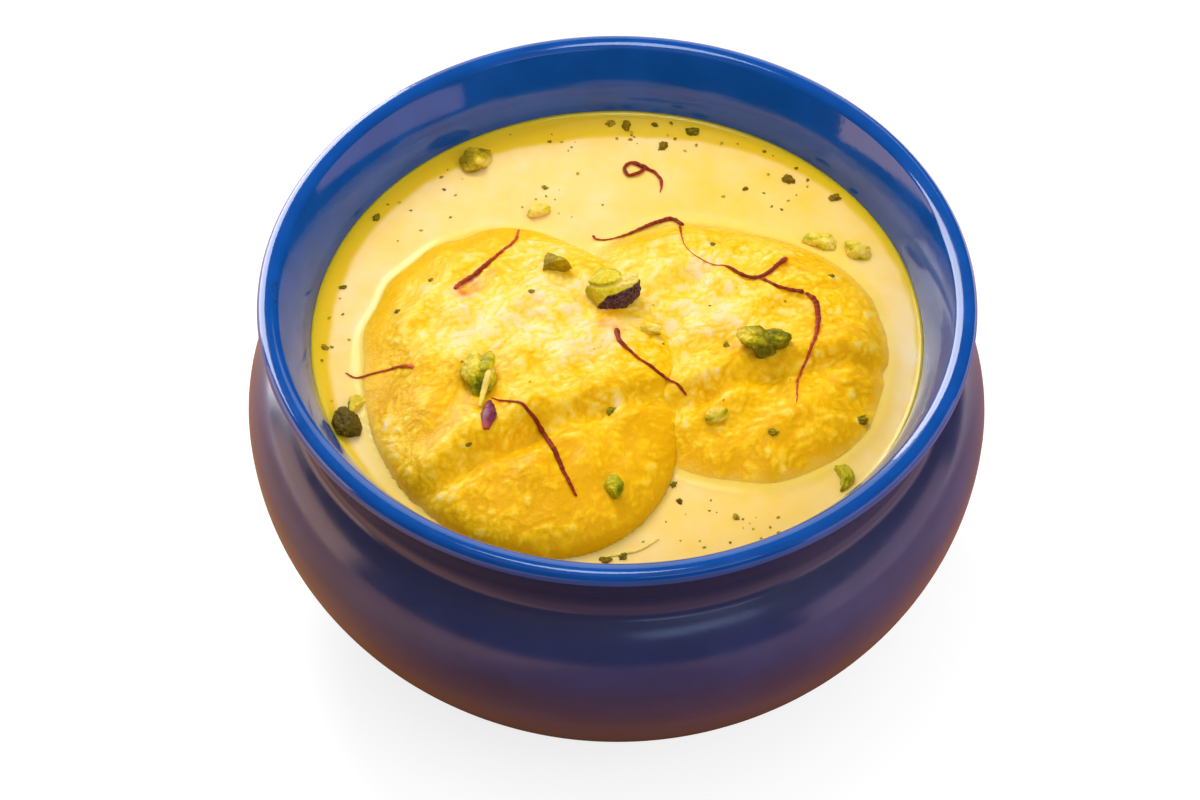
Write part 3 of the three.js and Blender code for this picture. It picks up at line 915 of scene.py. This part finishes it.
def half_nut(face, place):
    """The big half: a mossy lobe behind, a smooth one in front, a crumbled part, and ridged skin."""
    across, up = face[:, 0], face[:, 1]
    grainy = noise(place / 0.5)
    lobe = np.hypot((across + 0.27) / 0.66, (up - 0.6) / 0.4) + 0.05 * grainy
    groove = np.exp(-(((lobe - 1.15) / 0.14) ** 2)) * smoothstep(across, 0.5, 0.25)
    crumbled = np.clip(blobs(face, [(0.5, 0.46, 0.3, 1.3), (0.72, 0.6, 0.2, 0.6)]), 0, 1)
    skin_edge = np.interp(across, [-0.55, -0.1, 0.3, 0.72, 0.95], [-1.0, -0.3, -0.1, 0.12, 0.42])
    skin = smoothstep(skin_edge - up + 0.05 * noise(place / 0.8), -0.02, 0.04)
    ridges = np.abs(noise(np.stack([place[:, 0] / 0.8, place[:, 1] / 3, place[:, 2] / 3], axis=1)))
    outer = smoothstep(np.hypot(across, up), 0.7, 1.0) * smoothstep(across, 0, -0.4)
    height = 0.25 * smoothstep(lobe, 1.1, 0.8) - 0.4 * groove + crumbled * (0.15 + 0.5 * grainy)
    height = height + skin * (0.5 * ridges - 0.05)
    tone = 0.2 * np.exp(-(((lobe - 0.9) / 0.12) ** 2)) - 0.16 * groove + 0.14 * outer
    tone = tone - 0.3 * crumbled + 0.06 * grainy
    return height, tone, skin


def nut_detail(nut, ball, place, seed):
    """A nut's relief in mm, and its values: tone, skin and brown."""
    turned_ball = rotated(ball, nut.turn)
    face = np.stack([turned_ball[:, 0], 0.78 * turned_ball[:, 1] + 0.63 * turned_ball[:, 2]], axis=1)
    coarse, fine = noise(place / 1.9 + seed), noise(place / 0.8 + seed)
    crumbly = 0.3 * coarse + 0.2 * fine + 0.1 * noise(place / 0.4 + seed)
    speckle = noise(place + 7) + 0.9 * noise(place / 0.45)
    if nut.name == "skinned_half":
        height, tint, skin = half_nut(face, place)
        height = height + 0.3 * crumbly
    else:
        height = crumbly + blobs(face, nut.knobs)
        tint = blobs(face, nut.tints)
        skin = np.zeros(len(ball))
    tone = nut.tone + nut.mottle * (0.11 * speckle + 0.05 * fine) + tint
    brown = nut.brown + 0.25 * coarse
    return height, {"tone": np.clip(tone, 0, 1), "skin": skin, "brown": np.clip(brown, 0, 1)}


def make_nut(nut, seed):
    """One piece of pistachio: a chopped ball with relief, tapered or bent, laid in its place."""
    ball, faces = unit_ball(6 if max(nut.half) > 2.6 else 5)
    shape = chop(ball, np.random.default_rng(seed), nut.chips, nut.sides)
    height, values = nut_detail(nut, ball, shape * nut.half, seed)
    shape = shape * (1 + height / float(np.mean(nut.half)))[:, None] * nut.half
    along = shape[:, 1] / nut.half[1]
    shape[:, 0] *= 1 - nut.taper * np.minimum(along**2, 1)
    shape[:, 0] += nut.bend * (1 - 2 * along**2)
    middle_height = surface_height(nut.base, *nut.at) + nut.half[2] * nut.proud
    points = rotated(shape, nut.turn) + (*nut.at, middle_height)
    piece = mesh_object(f"chopped_{nut.name}", points, faces, [nut_flesh], values)
    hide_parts(f"pistachio_{nut.name}")


def nut_material():
    """Pistachio: cream, lime, green or brown flesh, and purple skin where it is left on."""
    settings = {
        "Subsurface Weight": 0.25,
        "Subsurface Radius": (0.9, 0.9, 0.3),
        "Subsurface Scale": MM,
        "Roughness": 0.42,
        "Specular IOR Level": 0.12,
        "Specular Tint": (1.0, 0.9, 0.5, 1),
    }
    greens = {
        0: (0.93, 0.70, 0.19),
        0.2: (0.74, 0.58, 0.012),
        0.4: (0.44, 0.39, 0.003),
        0.6: (0.20, 0.20, 0.002),
        0.8: (0.10, 0.108, 0.002),
        1: (0.055, 0.055, 0.002),
    }
    browns = {
        0: (0.90, 0.64, 0.12),
        0.35: (0.52, 0.34, 0.008),
        0.7: (0.21, 0.125, 0.003),
        1: (0.080, 0.046, 0.003),
    }
    material, tree, shader = material_of("pistachio_flesh", settings)
    fine = spread(tree, grain(tree, 0.35, detail=3), 0.3, 0.7, -0.07, 0.07)
    tone = arithmetic(tree, "ADD", attribute(tree, "tone"), fine)
    colour = blend(tree, attribute(tree, "brown"), ramp(tree, tone, greens), ramp(tree, tone, browns))
    ridged = spread(tree, grain(tree, 0.45, detail=3, distortion=0.6), 0.4, 0.64)
    skin_colour = blend(tree, ridged, (0.045, 0.014, 0.016), (0.17, 0.075, 0.080))
    colour = blend(tree, attribute(tree, "skin"), colour, skin_colour)
    dress(tree, shader, colour, grain(tree, 0.35, detail=3), depth=0.14)
    return material


# ---------------------------------------------------------------- saffron

# Each thread is a line of (x, y, radius, redness), from 0 for a dark dry red to 1 for a bright red.
threads = [
    [
        (-16.9, 23.2, 0.16, 0.9), (-17.5, 19.2, 0.30, 0.6), (-19.8, 15.1, 0.27, 0.5),
        (-22.9, 10.4, 0.42, 0.2), (-26.2, 7.2, 0.46, 0.3), (-27.5, 5.3, 0.38, 0.6),
    ],
    [
        (-0.2, -5.0, 0.48, 0.1), (0.6, -8.3, 0.38, 0.2), (3.1, -10.7, 0.27, 0.4),
        (6.6, -13.3, 0.31, 0.2), (9.1, -14.9, 0.28, 0.2), (11.4, -17.0, 0.24, 0.2),
    ],
    [
        (-45.6, -8.6, 0.13, 0.5), (-43.6, -9.9, 0.19, 0.5), (-39.6, -9.9, 0.20, 0.5),
        (-36.5, -10.4, 0.26, 0.6), (-33.6, -12.3, 0.46, 1.0),
    ],
    [
        (-20.7, -20.1, 0.12, 0.5), (-17.9, -21.4, 0.20, 0.3), (-14.7, -23.8, 0.28, 0.2),
        (-12.6, -25.3, 0.42, 0.1), (-11.1, -28.5, 0.45, 0.0), (-9.6, -32.0, 0.40, 0.0),
        (-8.2, -35.3, 0.32, 0.1), (-6.6, -38.4, 0.26, 0.3),
    ],
    [
        (-4.1, 22.2, 0.26, 0.3), (-3.2, 21.2, 0.20, 0.3), (-0.5, 21.2, 0.18, 0.4),
        (3.0, 22.7, 0.30, 0.1), (7.6, 25.2, 0.42, 0.0), (9.8, 25.6, 0.40, 0.0),
        (11.7, 24.0, 0.34, 0.2),
    ],
    [
        (10.9, 23.4, 0.24, 0.3), (11.4, 17.4, 0.11, 0.7), (12.6, 13.6, 0.10, 0.7),
        (16.2, 10.8, 0.10, 0.7), (18.2, 10.5, 0.16, 0.5), (19.5, 9.6, 0.34, 0.1),
        (21.5, 8.3, 0.38, 0.0), (23.7, 7.9, 0.38, 0.0), (25.6, 8.6, 0.40, 0.0),
        (27.4, 10.6, 0.46, 0.1), (28.9, 12.4, 0.58, 0.3),
    ],
    [
        (24.4, 7.7, 0.24, 0.2), (26.8, 5.5, 0.34, 0.1), (29.2, 4.7, 0.36, 0.1),
        (31.6, 4.2, 0.40, 0.1),
    ],
    [
        (31.7, 4.3, 0.30, 0.2), (33.2, 2.5, 0.48, 0.1), (33.7, 0.1, 0.50, 0.2),
        (33.6, -3.0, 0.42, 0.3), (32.6, -7.4, 0.30, 0.5), (30.6, -11.6, 0.22, 0.6),
        (29.8, -15.0, 0.18, 0.7), (29.6, -18.6, 0.12, 0.9),
    ],
    [
        (7.7, 32.2, 0.12, 0.5), (7.9, 34.7, 0.27, 0.2), (6.8, 37.0, 0.30, 0.1),
        (4.6, 38.5, 0.44, 0.0), (2.6, 39.3, 0.36, 0.1), (1.5, 38.0, 0.32, 0.1),
        (2.0, 36.4, 0.34, 0.1), (3.7, 36.7, 0.36, 0.1), (5.4, 38.2, 0.40, 0.2),
    ],
]


def surface_finder(pieces):
    """A function of (x, y) for the height of the highest of these pieces there."""
    trees = []
    for piece in pieces:
        points = [vertex.co for vertex in piece.data.vertices]
        trees.append(BVHTree.FromPolygons(points, [face.vertices for face in piece.data.polygons]))
    down = Vector((0, 0, -1))

    def height(x, y):
        hits = [tree.ray_cast(Vector((x * MM, y * MM, 1)), down)[0] for tree in trees]
        return max(hit.z for hit in hits if hit) / MM

    return height


def smoothed(values, width):
    """values with a soft window of this many samples run over them."""
    reach = np.arange(-2 * width, 2 * width + 1)
    window = np.exp(-((reach / width) ** 2))
    padded = np.pad(values, 2 * width, mode="edge")
    return np.convolve(padded, window / window.sum(), mode="valid")


def spline(rows, step):
    """Rows of numbers along a smooth curve through the given ones, about step apart."""
    rows = np.array(rows)
    ends = np.vstack([2 * rows[0] - rows[1], rows, 2 * rows[-1] - rows[-2]])
    out = []
    for i in range(len(rows) - 1):
        a, b, c, d = ends[i : i + 4]
        count = max(2, int(np.linalg.norm(c[:2] - b[:2]) / step))
        for t in np.arange(count)[:, None] / count:
            bend = 2 * a - 5 * b + 4 * c - d
            out.append(0.5 * (2 * b + (c - a) * t + bend * t**2 + (3 * b - a - 3 * c + d) * t**3))
    return np.vstack([*out, rows[-1]])


def tube(centres, radii, sides, flatness, twist):
    """A closed tube of flattened section along a line, as points and faces."""
    along = np.gradient(centres, axis=0)
    along /= np.linalg.norm(along, axis=1, keepdims=True)
    side = np.cross(along, (0, 0, 1))
    side /= np.linalg.norm(side, axis=1, keepdims=True)
    up = np.cross(side, along)
    angle = np.arange(sides) * 2 * math.pi / sides
    wide = (radii[:, None] * np.cos(angle))[..., None]
    thin = (radii[:, None] * flatness * np.sin(angle))[..., None]
    cosine, sine = np.cos(twist)[:, None, None], np.sin(twist)[:, None, None]
    across = side[:, None] * (wide * cosine - thin * sine)
    above = up[:, None] * (wide * sine + thin * cosine)
    points = (centres[:, None] + across + above).reshape(-1, 3)
    end = np.arange(sides)
    caps = [end[::-1].tolist(), (end + (len(centres) - 1) * sides).tolist()]
    return points, strips(sides, len(centres)) + caps


def lay_thread(rows, height, seed):
    """A thread's points, faces and redness, lying on the surface that height describes."""
    route = spline(rows, step=0.14)
    count = len(route)
    place = np.stack([route[:, 0] / 1.7, route[:, 1] / 1.7, np.full(count, seed * 3.1)], axis=1)
    x = route[:, 0] + 0.14 * noise(place)
    y = route[:, 1] + 0.14 * noise(place + 40)
    ground = np.array([height(a, b) for a, b in zip(x, y)])
    ground = np.maximum(smoothed(ground, 7), smoothed(ground, 3) - 0.1)
    radius = np.maximum(route[:, 2], 0.07) * (1 + 0.28 * noise(place * 2.4 + 9))
    tip = np.minimum(np.arange(count), np.arange(count)[::-1]) / 3
    radius = radius * np.sqrt(np.clip(tip + 0.12, 0, 1))
    twist = 0.5 * noise(place / 1.6 + 70)
    centres = np.stack([x, y, ground + 0.55 * radius + 0.04], axis=1)
    sides = 10
    points, faces = tube(centres, radius, sides, flatness=0.62, twist=twist)
    redness = np.repeat(route[:, 3] + 0.3 * noise(place * 3 + 5), sides)
    edges = np.tile(np.abs(np.cos(np.arange(sides) * 2 * math.pi / sides)) ** 4, count)
    return points, faces, np.clip(redness + 0.3 * edges, 0, 1)


def joined(parts):
    """Several (points, faces, numbers...) made one."""
    points, faces, numbers = [], [], []
    start = 0
    for part_points, part_faces, *part_numbers in parts:
        points.append(part_points)
        faces += [[index + start for index in face] for face in part_faces]
        numbers.append(part_numbers)
        start += len(part_points)
    return np.vstack(points), faces, *[np.concatenate(column) for column in zip(*numbers)]


def saffron_material():
    """Dry saffron: a dark red-brown thread with brighter edges and ends."""
    settings = {"Roughness": 0.45, "Specular IOR Level": 0.2, "Specular Tint": (1.0, 0.6, 0.4, 1)}
    material, tree, shader = material_of("saffron", settings)
    streak = spread(tree, grain(tree, 0.5, detail=3), 0.3, 0.7, -0.18, 0.18)
    redness = arithmetic(tree, "ADD", attribute(tree, "redness"), streak)
    reds = {0: (0.17, 0.014, 0.004), 0.5: (0.36, 0.035, 0.008), 1: (0.72, 0.13, 0.04)}
    dress(tree, shader, ramp(tree, redness, reds), grain(tree, 0.3), depth=0.08)
    return material


def make_saffron(height):
    """All the threads as one piece, lying on the food."""
    laid = [lay_thread(rows, height, seed) for seed, rows in enumerate(threads)]
    points, faces, redness = joined(laid)
    saffron = mesh_object("saffron_threads", points, faces, [saffron_material()], {"redness": redness})


# ---------------------------------------------------------------- specks

# Specks of pistachio and cardamom as (x, y, radius). Most of them are where the part has them.
specks = [
    (-37.0, 2.2, 0.5), (-1.0, -21.2, 0.9), (-31.5, 8.5, 0.5), (-14.4, 3.2, 0.5), (-24.2, -29.5, 0.5),
    (18.2, -6.9, 0.6), (25.6, -24.0, 0.9), (40.5, -19.5, 1.0), (16.4, 15.6, 0.5), (36.5, 9.5, 0.5),
    (-0.9, 49.0, 0.8), (1.9, 48.4, 1.0), (6.9, 48.7, 0.6), (13.6, 47.0, 1.1), (8.3, 43.5, 0.9),
    (30.2, 35.4, 1.1), (38.2, 31.0, 0.9), (-41.8, 26.4, 0.7), (-49.3, -3.0, 0.6), (-46.9, 10.4, 0.6),
    (9.2, -32.2, 0.6), (10.1, -35.6, 0.6), (-1.9, -47.5, 0.8), (0.9, -46.8, 0.7), (19.2, -38.8, 0.6),
    (-12.5, 33.5, 0.5), (22.6, 33.2, 0.5), (26.0, -42.4, 0.5),
]
# Where finer ones lie: (x, y, spread across, spread deep, how many, largest radius).
dust = [
    (8, 45, 17, 3.5, 24, 0.36),
    (28, 34, 9, 8, 12, 0.34),
    (-33, 32, 8, 7, 12, 0.3),
    (-48, 2, 1.8, 12, 7, 0.3),
    (16, -40, 9, 5, 18, 0.28),
    (-12, 30, 12, 5, 8, 0.26),
    (-12, -6, 18, 16, 8, 0.26),
    (22, -6, 14, 14, 8, 0.26),
]


def crumb(ball, x, y, z, radius, seed):
    """One flat ragged speck, half sunk in what it lies on."""
    place = ball + seed
    swell = 1 + 0.5 * noise(place * 1.2) + 0.3 * noise(place * 2.6)
    shape = ball * swell[:, None] * (1.2, 0.85, 0.5) * radius
    return rotated(shape, seed * 57) + (x, y, z + 0.05 * radius)


def make_specks(height):
    """The specks, and finer dust scattered about the given places."""
    ball, faces = unit_ball(4)
    tiny, tiny_faces = unit_ball(3)
    random = np.random.default_rng(23)
    parts = []
    for seed, (x, y, radius) in enumerate(specks):
        points = crumb(ball, x, y, height(x, y), 0.9 * radius, seed)
        tone = random.uniform(0.55, 0.8) + 0.14 * noise(points / 0.5)
        parts.append((points, faces, tone, np.full(len(ball), random.uniform(0.4, 1))))
    milk_edge = 50.5
    for x, y, wide, deep, count, largest in dust:
        for _ in range(count):
            px, py = random.normal((x, y), (wide * 0.6, deep * 0.6))
            radius = largest * random.uniform(0.35, 1)
            tone = np.full(len(tiny), random.uniform(0.3, 0.75))
            brown = np.full(len(tiny), random.uniform(0.2, 1))
            if math.hypot(px, py) < milk_edge:
                points = crumb(tiny, px, py, height(px, py), radius, random.uniform(0, 90))
                parts.append((points, tiny_faces, tone, brown))
    points, faces, tone, brown = joined(parts)
    values = {"tone": np.clip(tone, 0, 1), "brown": brown}
    piece = mesh_object("dark_specks", points, faces, [nut_flesh], values)


def strand(rows, height):
    """A short tapered strand's points and faces, and how far along it each point lies.

    Its rows are (x, y, radius, how far its middle line is above the food).
    """
    route = spline(rows, step=0.12)
    ground = smoothed(np.array([height(a, b) for a, b in route[:, :2]]), 6)
    centres = np.stack([route[:, 0], route[:, 1], ground + route[:, 3]], axis=1)
    sides = 12
    points, faces = tube(centres, route[:, 2], sides, flatness=0.6, twist=np.zeros(len(route)))
    along = np.repeat(np.linspace(0, 1, len(route)), sides)
    return points + 0.1 * noise(points / 0.7)[:, None], faces, along


def make_filaments(height):
    """A pale filament that leads from the left chunk to its skin tip, and one in the front milk."""
    hanging = [
        (-20.9, -15.0, 0.4, 2.9),
        (-21.3, -17.2, 0.5, 2.6),
        (-21.9, -19.8, 0.5, 1.3),
        (-22.5, -22.6, 0.34, 0.4),
    ]
    front = [(6.6, -43.3, 0.16, 0.1), (3.2, -45.6, 0.25, 0.1), (-2.6, -47.0, 0.18, 0.1)]
    points, faces, along = joined([strand(hanging, height), strand(front, height)])
    piece = mesh_object("pale_filaments", points, faces, [nut_flesh], {"tone": 0.02 + 0.1 * along})


def tip_material():
    """A tip of nut skin: magenta purple, and red-orange at its lower end."""
    material, tree, shader = material_of("purple_skin", {"Roughness": 0.4, "Specular IOR Level": 0.25})
    cloud = spread(tree, grain(tree, 0.8, detail=3), 0.35, 0.65)
    colour = blend(tree, cloud, (0.10, 0.010, 0.020), (0.24, 0.026, 0.085))
    colour = blend(tree, attribute(tree, "ripe"), colour, (0.62, 0.10, 0.04))
    dress(tree, shader, colour, grain(tree, 0.4, detail=3), depth=0.1)
    return material


def make_skin_tip(height):
    """The purple tip of skin, riper at the left of its lower end."""
    rows = [
        (-20.9, -21.0, 0.3, 0.3),
        (-20.9, -22.6, 0.95, 0.3),
        (-21.0, -24.6, 1.3, 0.3),
        (-21.3, -27.4, 0.5, 0.3),
    ]
    points, faces, along = strand(rows, height)
    left_side = smoothstep(points[:, 0], -20.8, -21.9)
    ripe = smoothstep(along, 0.72, 0.95) * (0.4 + 0.6 * left_side)
    piece = mesh_object("skin_tip", points, faces, [tip_material()], {"ripe": ripe})


# ---------------------------------------------------------------- assembly

# Round spots on the patties: (x, y, radius, strength). A zone is creamier, or with a negative
# strength yellower; creamy zones on the tops are partly painted light, and yellower ones on the
# front and side walls partly painted shade. A stain is orange.
left_zones_with_painted_light = [
    (-8.5, -9.5, 13, 0.36),
    (-23, -2, 10, 0.26),
    (1.0, -7, 7, 0.15),
    (-14, 5, 9, 0.15),
    (-9.3, -35, 16, -0.75),
    (-31, -21, 10, -0.35),
    (-38, -12, 7, -0.25),
    (11, -20, 12, -0.6),
]
left_stains = [
    (-25.9, 4.6, 1.5, 1.2),
    (-23.6, 6.6, 1.3, 1.1),
    (-21.2, 9.2, 1.0, 0.8),
    (-2.4, -3.4, 1.6, 0.55),
    (-0.8, -0.6, 1.8, 0.5),
    (0.4, -4.6, 1.2, 0.5),
]
right_zones_with_painted_light = [
    (13.9, -2.0, 7, 0.3),
    (21, 3, 8, 0.25),
    (14, 11, 8, 0.18),
    (28, -26, 14, -0.65),
    (42, -6, 11, -0.45),
    (34, 12, 9, -0.2),
]
right_stains = [
    (28.6, 10.2, 1.4, 0.3),
    (29.4, -19.6, 1.1, 0.3),
    (32.8, 1.6, 1.2, 0.3),
]

sponge = sponge_material()
make_bowl()
patties = [
    make_patty("cheese_patty_left", "patty_left", left_patty, left_zones_with_painted_light, left_stains, steps=264),
    make_patty("cheese_patty_right", "patty_right", right_patty, right_zones_with_painted_light, right_stains, steps=244),
]
milk = make_milk()
nut_flesh = nut_material()
for seed, nut in enumerate(nuts):
    make_nut(nut, seed + 1)
food_height = surface_finder([*patties, milk])
make_saffron(food_height)
make_specks(food_height)
make_filaments(food_height)
make_skin_tip(food_height)

# ---------------------------------------------------------------- stage, lights and camera


def area_light(name, place, size, radiance, colour, target=(0, 0, 55)):
    """A rectangular light of an even radiance. The camera doesn't see it."""
    data = bpy.data.lights.new(name, "AREA")
    data.shape = "RECTANGLE"
    data.size, data.size_y = size[0] * MM, size[1] * MM
    data.energy = radiance * math.pi * data.size * data.size_y
    data.color = colour
    light = bpy.data.objects.new(name, data)
    bpy.context.scene.collection.objects.link(light)
    light.location = Vector(place) * MM
    away = Vector(target) * MM - light.location
    light.rotation_euler = away.to_track_quat("-Z", "Y").to_euler()
    light.visible_camera = False
    return light


def flat_sheet(name, material, z):
    """A wide flat sheet under the bowl. Its size and height are in metres."""
    mesh = bpy.data.meshes.new(name)
    half = 2.5
    corners = [(-half, -half, z), (half, -half, z), (half, half, z), (-half, half, z)]
    mesh.from_pydata(corners, [], [(0, 1, 2, 3)])
    mesh.materials.append(material)
    sheet = bpy.data.objects.new(name, mesh)
    bpy.context.scene.collection.objects.link(sheet)
    return sheet


def white_material():
    """A floor that looks white whatever falls on it."""
    settings = {
        "Base Color": (0.4, 0.4, 0.4, 1),
        "Roughness": 0.9,
        "Emission Color": (1, 1, 1, 1),
        "Emission Strength": 0.75,
        "Specular IOR Level": 0.0,
    }
    return material_of("white_floor", settings)[0]


def glow_material():
    """What the glaze mirrors below: a glowing sheet standing for a lit warm floor, brown near the bowl as a
    painted shadow, and brighter at its sides and behind.
    """
    settings = {"Base Color": (0, 0, 0, 1), "Specular IOR Level": 0.0, "Emission Strength": 1.0}
    material, tree, shader = material_of("mirrored_floor", settings)
    place = add_node(tree, "ShaderNodeTexCoord").outputs["Object"]
    axes = add_node(tree, "ShaderNodeSeparateXYZ", {"Vector": place}).outputs
    away = add_node(tree, "ShaderNodeVectorMath", {0: place}, operation="LENGTH").outputs["Value"]
    # Dark brown under and near the bowl: a painted shadow.
    colour = (0.07, 0.032, 0.012)
    for measure, start, end, next_colour in (
        (away, 0.045, 0.065, (0.44, 0.15, 0.03)),
        (away, 0.095, 0.120, (0.50, 0.22, 0.16)),
        (axes["X"], -0.05, -0.14, (1.25, 0.62, 0.30)),
        (axes["X"], 0.05, 0.15, (0.85, 0.46, 0.42)),
        (axes["Y"], 0.05, 0.25, (2.3, 1.8, 1.9)),
    ):
        colour = blend(tree, spread(tree, measure, start, end), colour, next_colour)
    tree.links.new(colour, shader["Emission Color"])
    return material


def make_stage():
    """A white floor for the camera, and one under it that only the glaze and the food see."""
    white = flat_sheet("white_floor", white_material(), z=-0.0001)
    white.visible_diffuse = False
    white.visible_glossy = False
    mirrored = flat_sheet("mirrored_floor", glow_material(), z=-0.0002)
    mirrored.visible_camera = False


def panel_towards(name, azimuth, elevation, size, radiance, colour):
    """A panel that only mirrored rays see, in a direction given in degrees."""
    turn, tilt = math.radians(azimuth), math.radians(elevation)
    direction = Vector((math.cos(turn) * math.cos(tilt), math.sin(turn) * math.cos(tilt), math.sin(tilt)))
    distance = 900
    panel = area_light(name, direction * distance, size, radiance, colour)
    panel.visible_diffuse = False


def make_lights():
    """A key from behind and a fill from the front right, with panels for the reflections."""
    toward_key = Vector((-0.26, 0.61, 0.75)) * 650
    key = area_light("key", toward_key, (230, 230), 12.9, (1.0, 0.95, 0.89), target=(0, 0, 60))
    fill = area_light("fill", (620, -360, 520), (500, 500), 2.3, (1.0, 0.96, 0.92))
    key.visible_glossy = False
    fill.visible_glossy = False
    for panel in (
        ("bright_back_left", 130, 22, (760, 900), 9, (0.95, 0.95, 1.0)),
        ("dim_back", 88, 24, (560, 700), 1.6, (0.9, 0.95, 1.0)),
        ("overhead", 115, 84, (220, 300), 8, (0.8, 0.9, 1.0)),
        ("high_front_right", -66, 43, (420, 150), 2.2, (0.45, 0.65, 1.0)),
        ("warm_above", -92, 66, (800, 330), 0.35, (1.0, 0.5, 0.25)),
        ("warm_left", 178, 10, (620, 460), 2.9, (1.0, 0.60, 0.38)),
        ("lilac_right", -14, 8, (900, 460), 1.4, (1.0, 0.62, 0.66)),
    ):
        panel_towards(*panel)
    bpy.context.scene.world = make_world()


def make_world():
    """Soft light that grows from the horizon to the zenith, and from the front to the back."""
    world = bpy.data.worlds.new("studio")
    world.use_nodes = True
    tree = world.node_tree
    place = add_node(tree, "ShaderNodeTexCoord").outputs["Generated"]
    axes = add_node(tree, "ShaderNodeSeparateXYZ", {"Vector": place}).outputs
    upward = spread(tree, axes["Z"], 0, 1, 0.2, 1.05)
    backward = spread(tree, axes["Y"], -1, 1, 0.85, 1.15)
    background = tree.nodes["Background"].inputs
    background["Color"].default_value = (0.97, 0.97, 1.0, 1)
    tree.links.new(arithmetic(tree, "MULTIPLY", upward, backward), background["Strength"])
    world.cycles_visibility.glossy = False
    return world


def make_camera():
    """The photograph's view: 51 degrees above the horizon, 600 mm away."""
    elevation = math.radians(50.96)
    distance = 600
    target = Vector((-2.85, 0, 41.28))
    data = bpy.data.cameras.new("camera")
    data.lens = 103.96
    data.sensor_width = 36
    data.clip_start = 0.01
    camera = bpy.data.objects.new("camera", data)
    bpy.context.scene.collection.objects.link(camera)
    back_off = Vector((0, -math.cos(elevation), math.sin(elevation))) * distance
    camera.location = (target + back_off) * MM
    camera.rotation_euler = (math.pi / 2 - elevation, 0, 0)
    bpy.context.scene.camera = camera


make_stage()
make_lights()
make_camera()
bpy.context.scene.view_settings.view_transform = "Standard"
bpy.context.scene.cycles.use_denoising = True
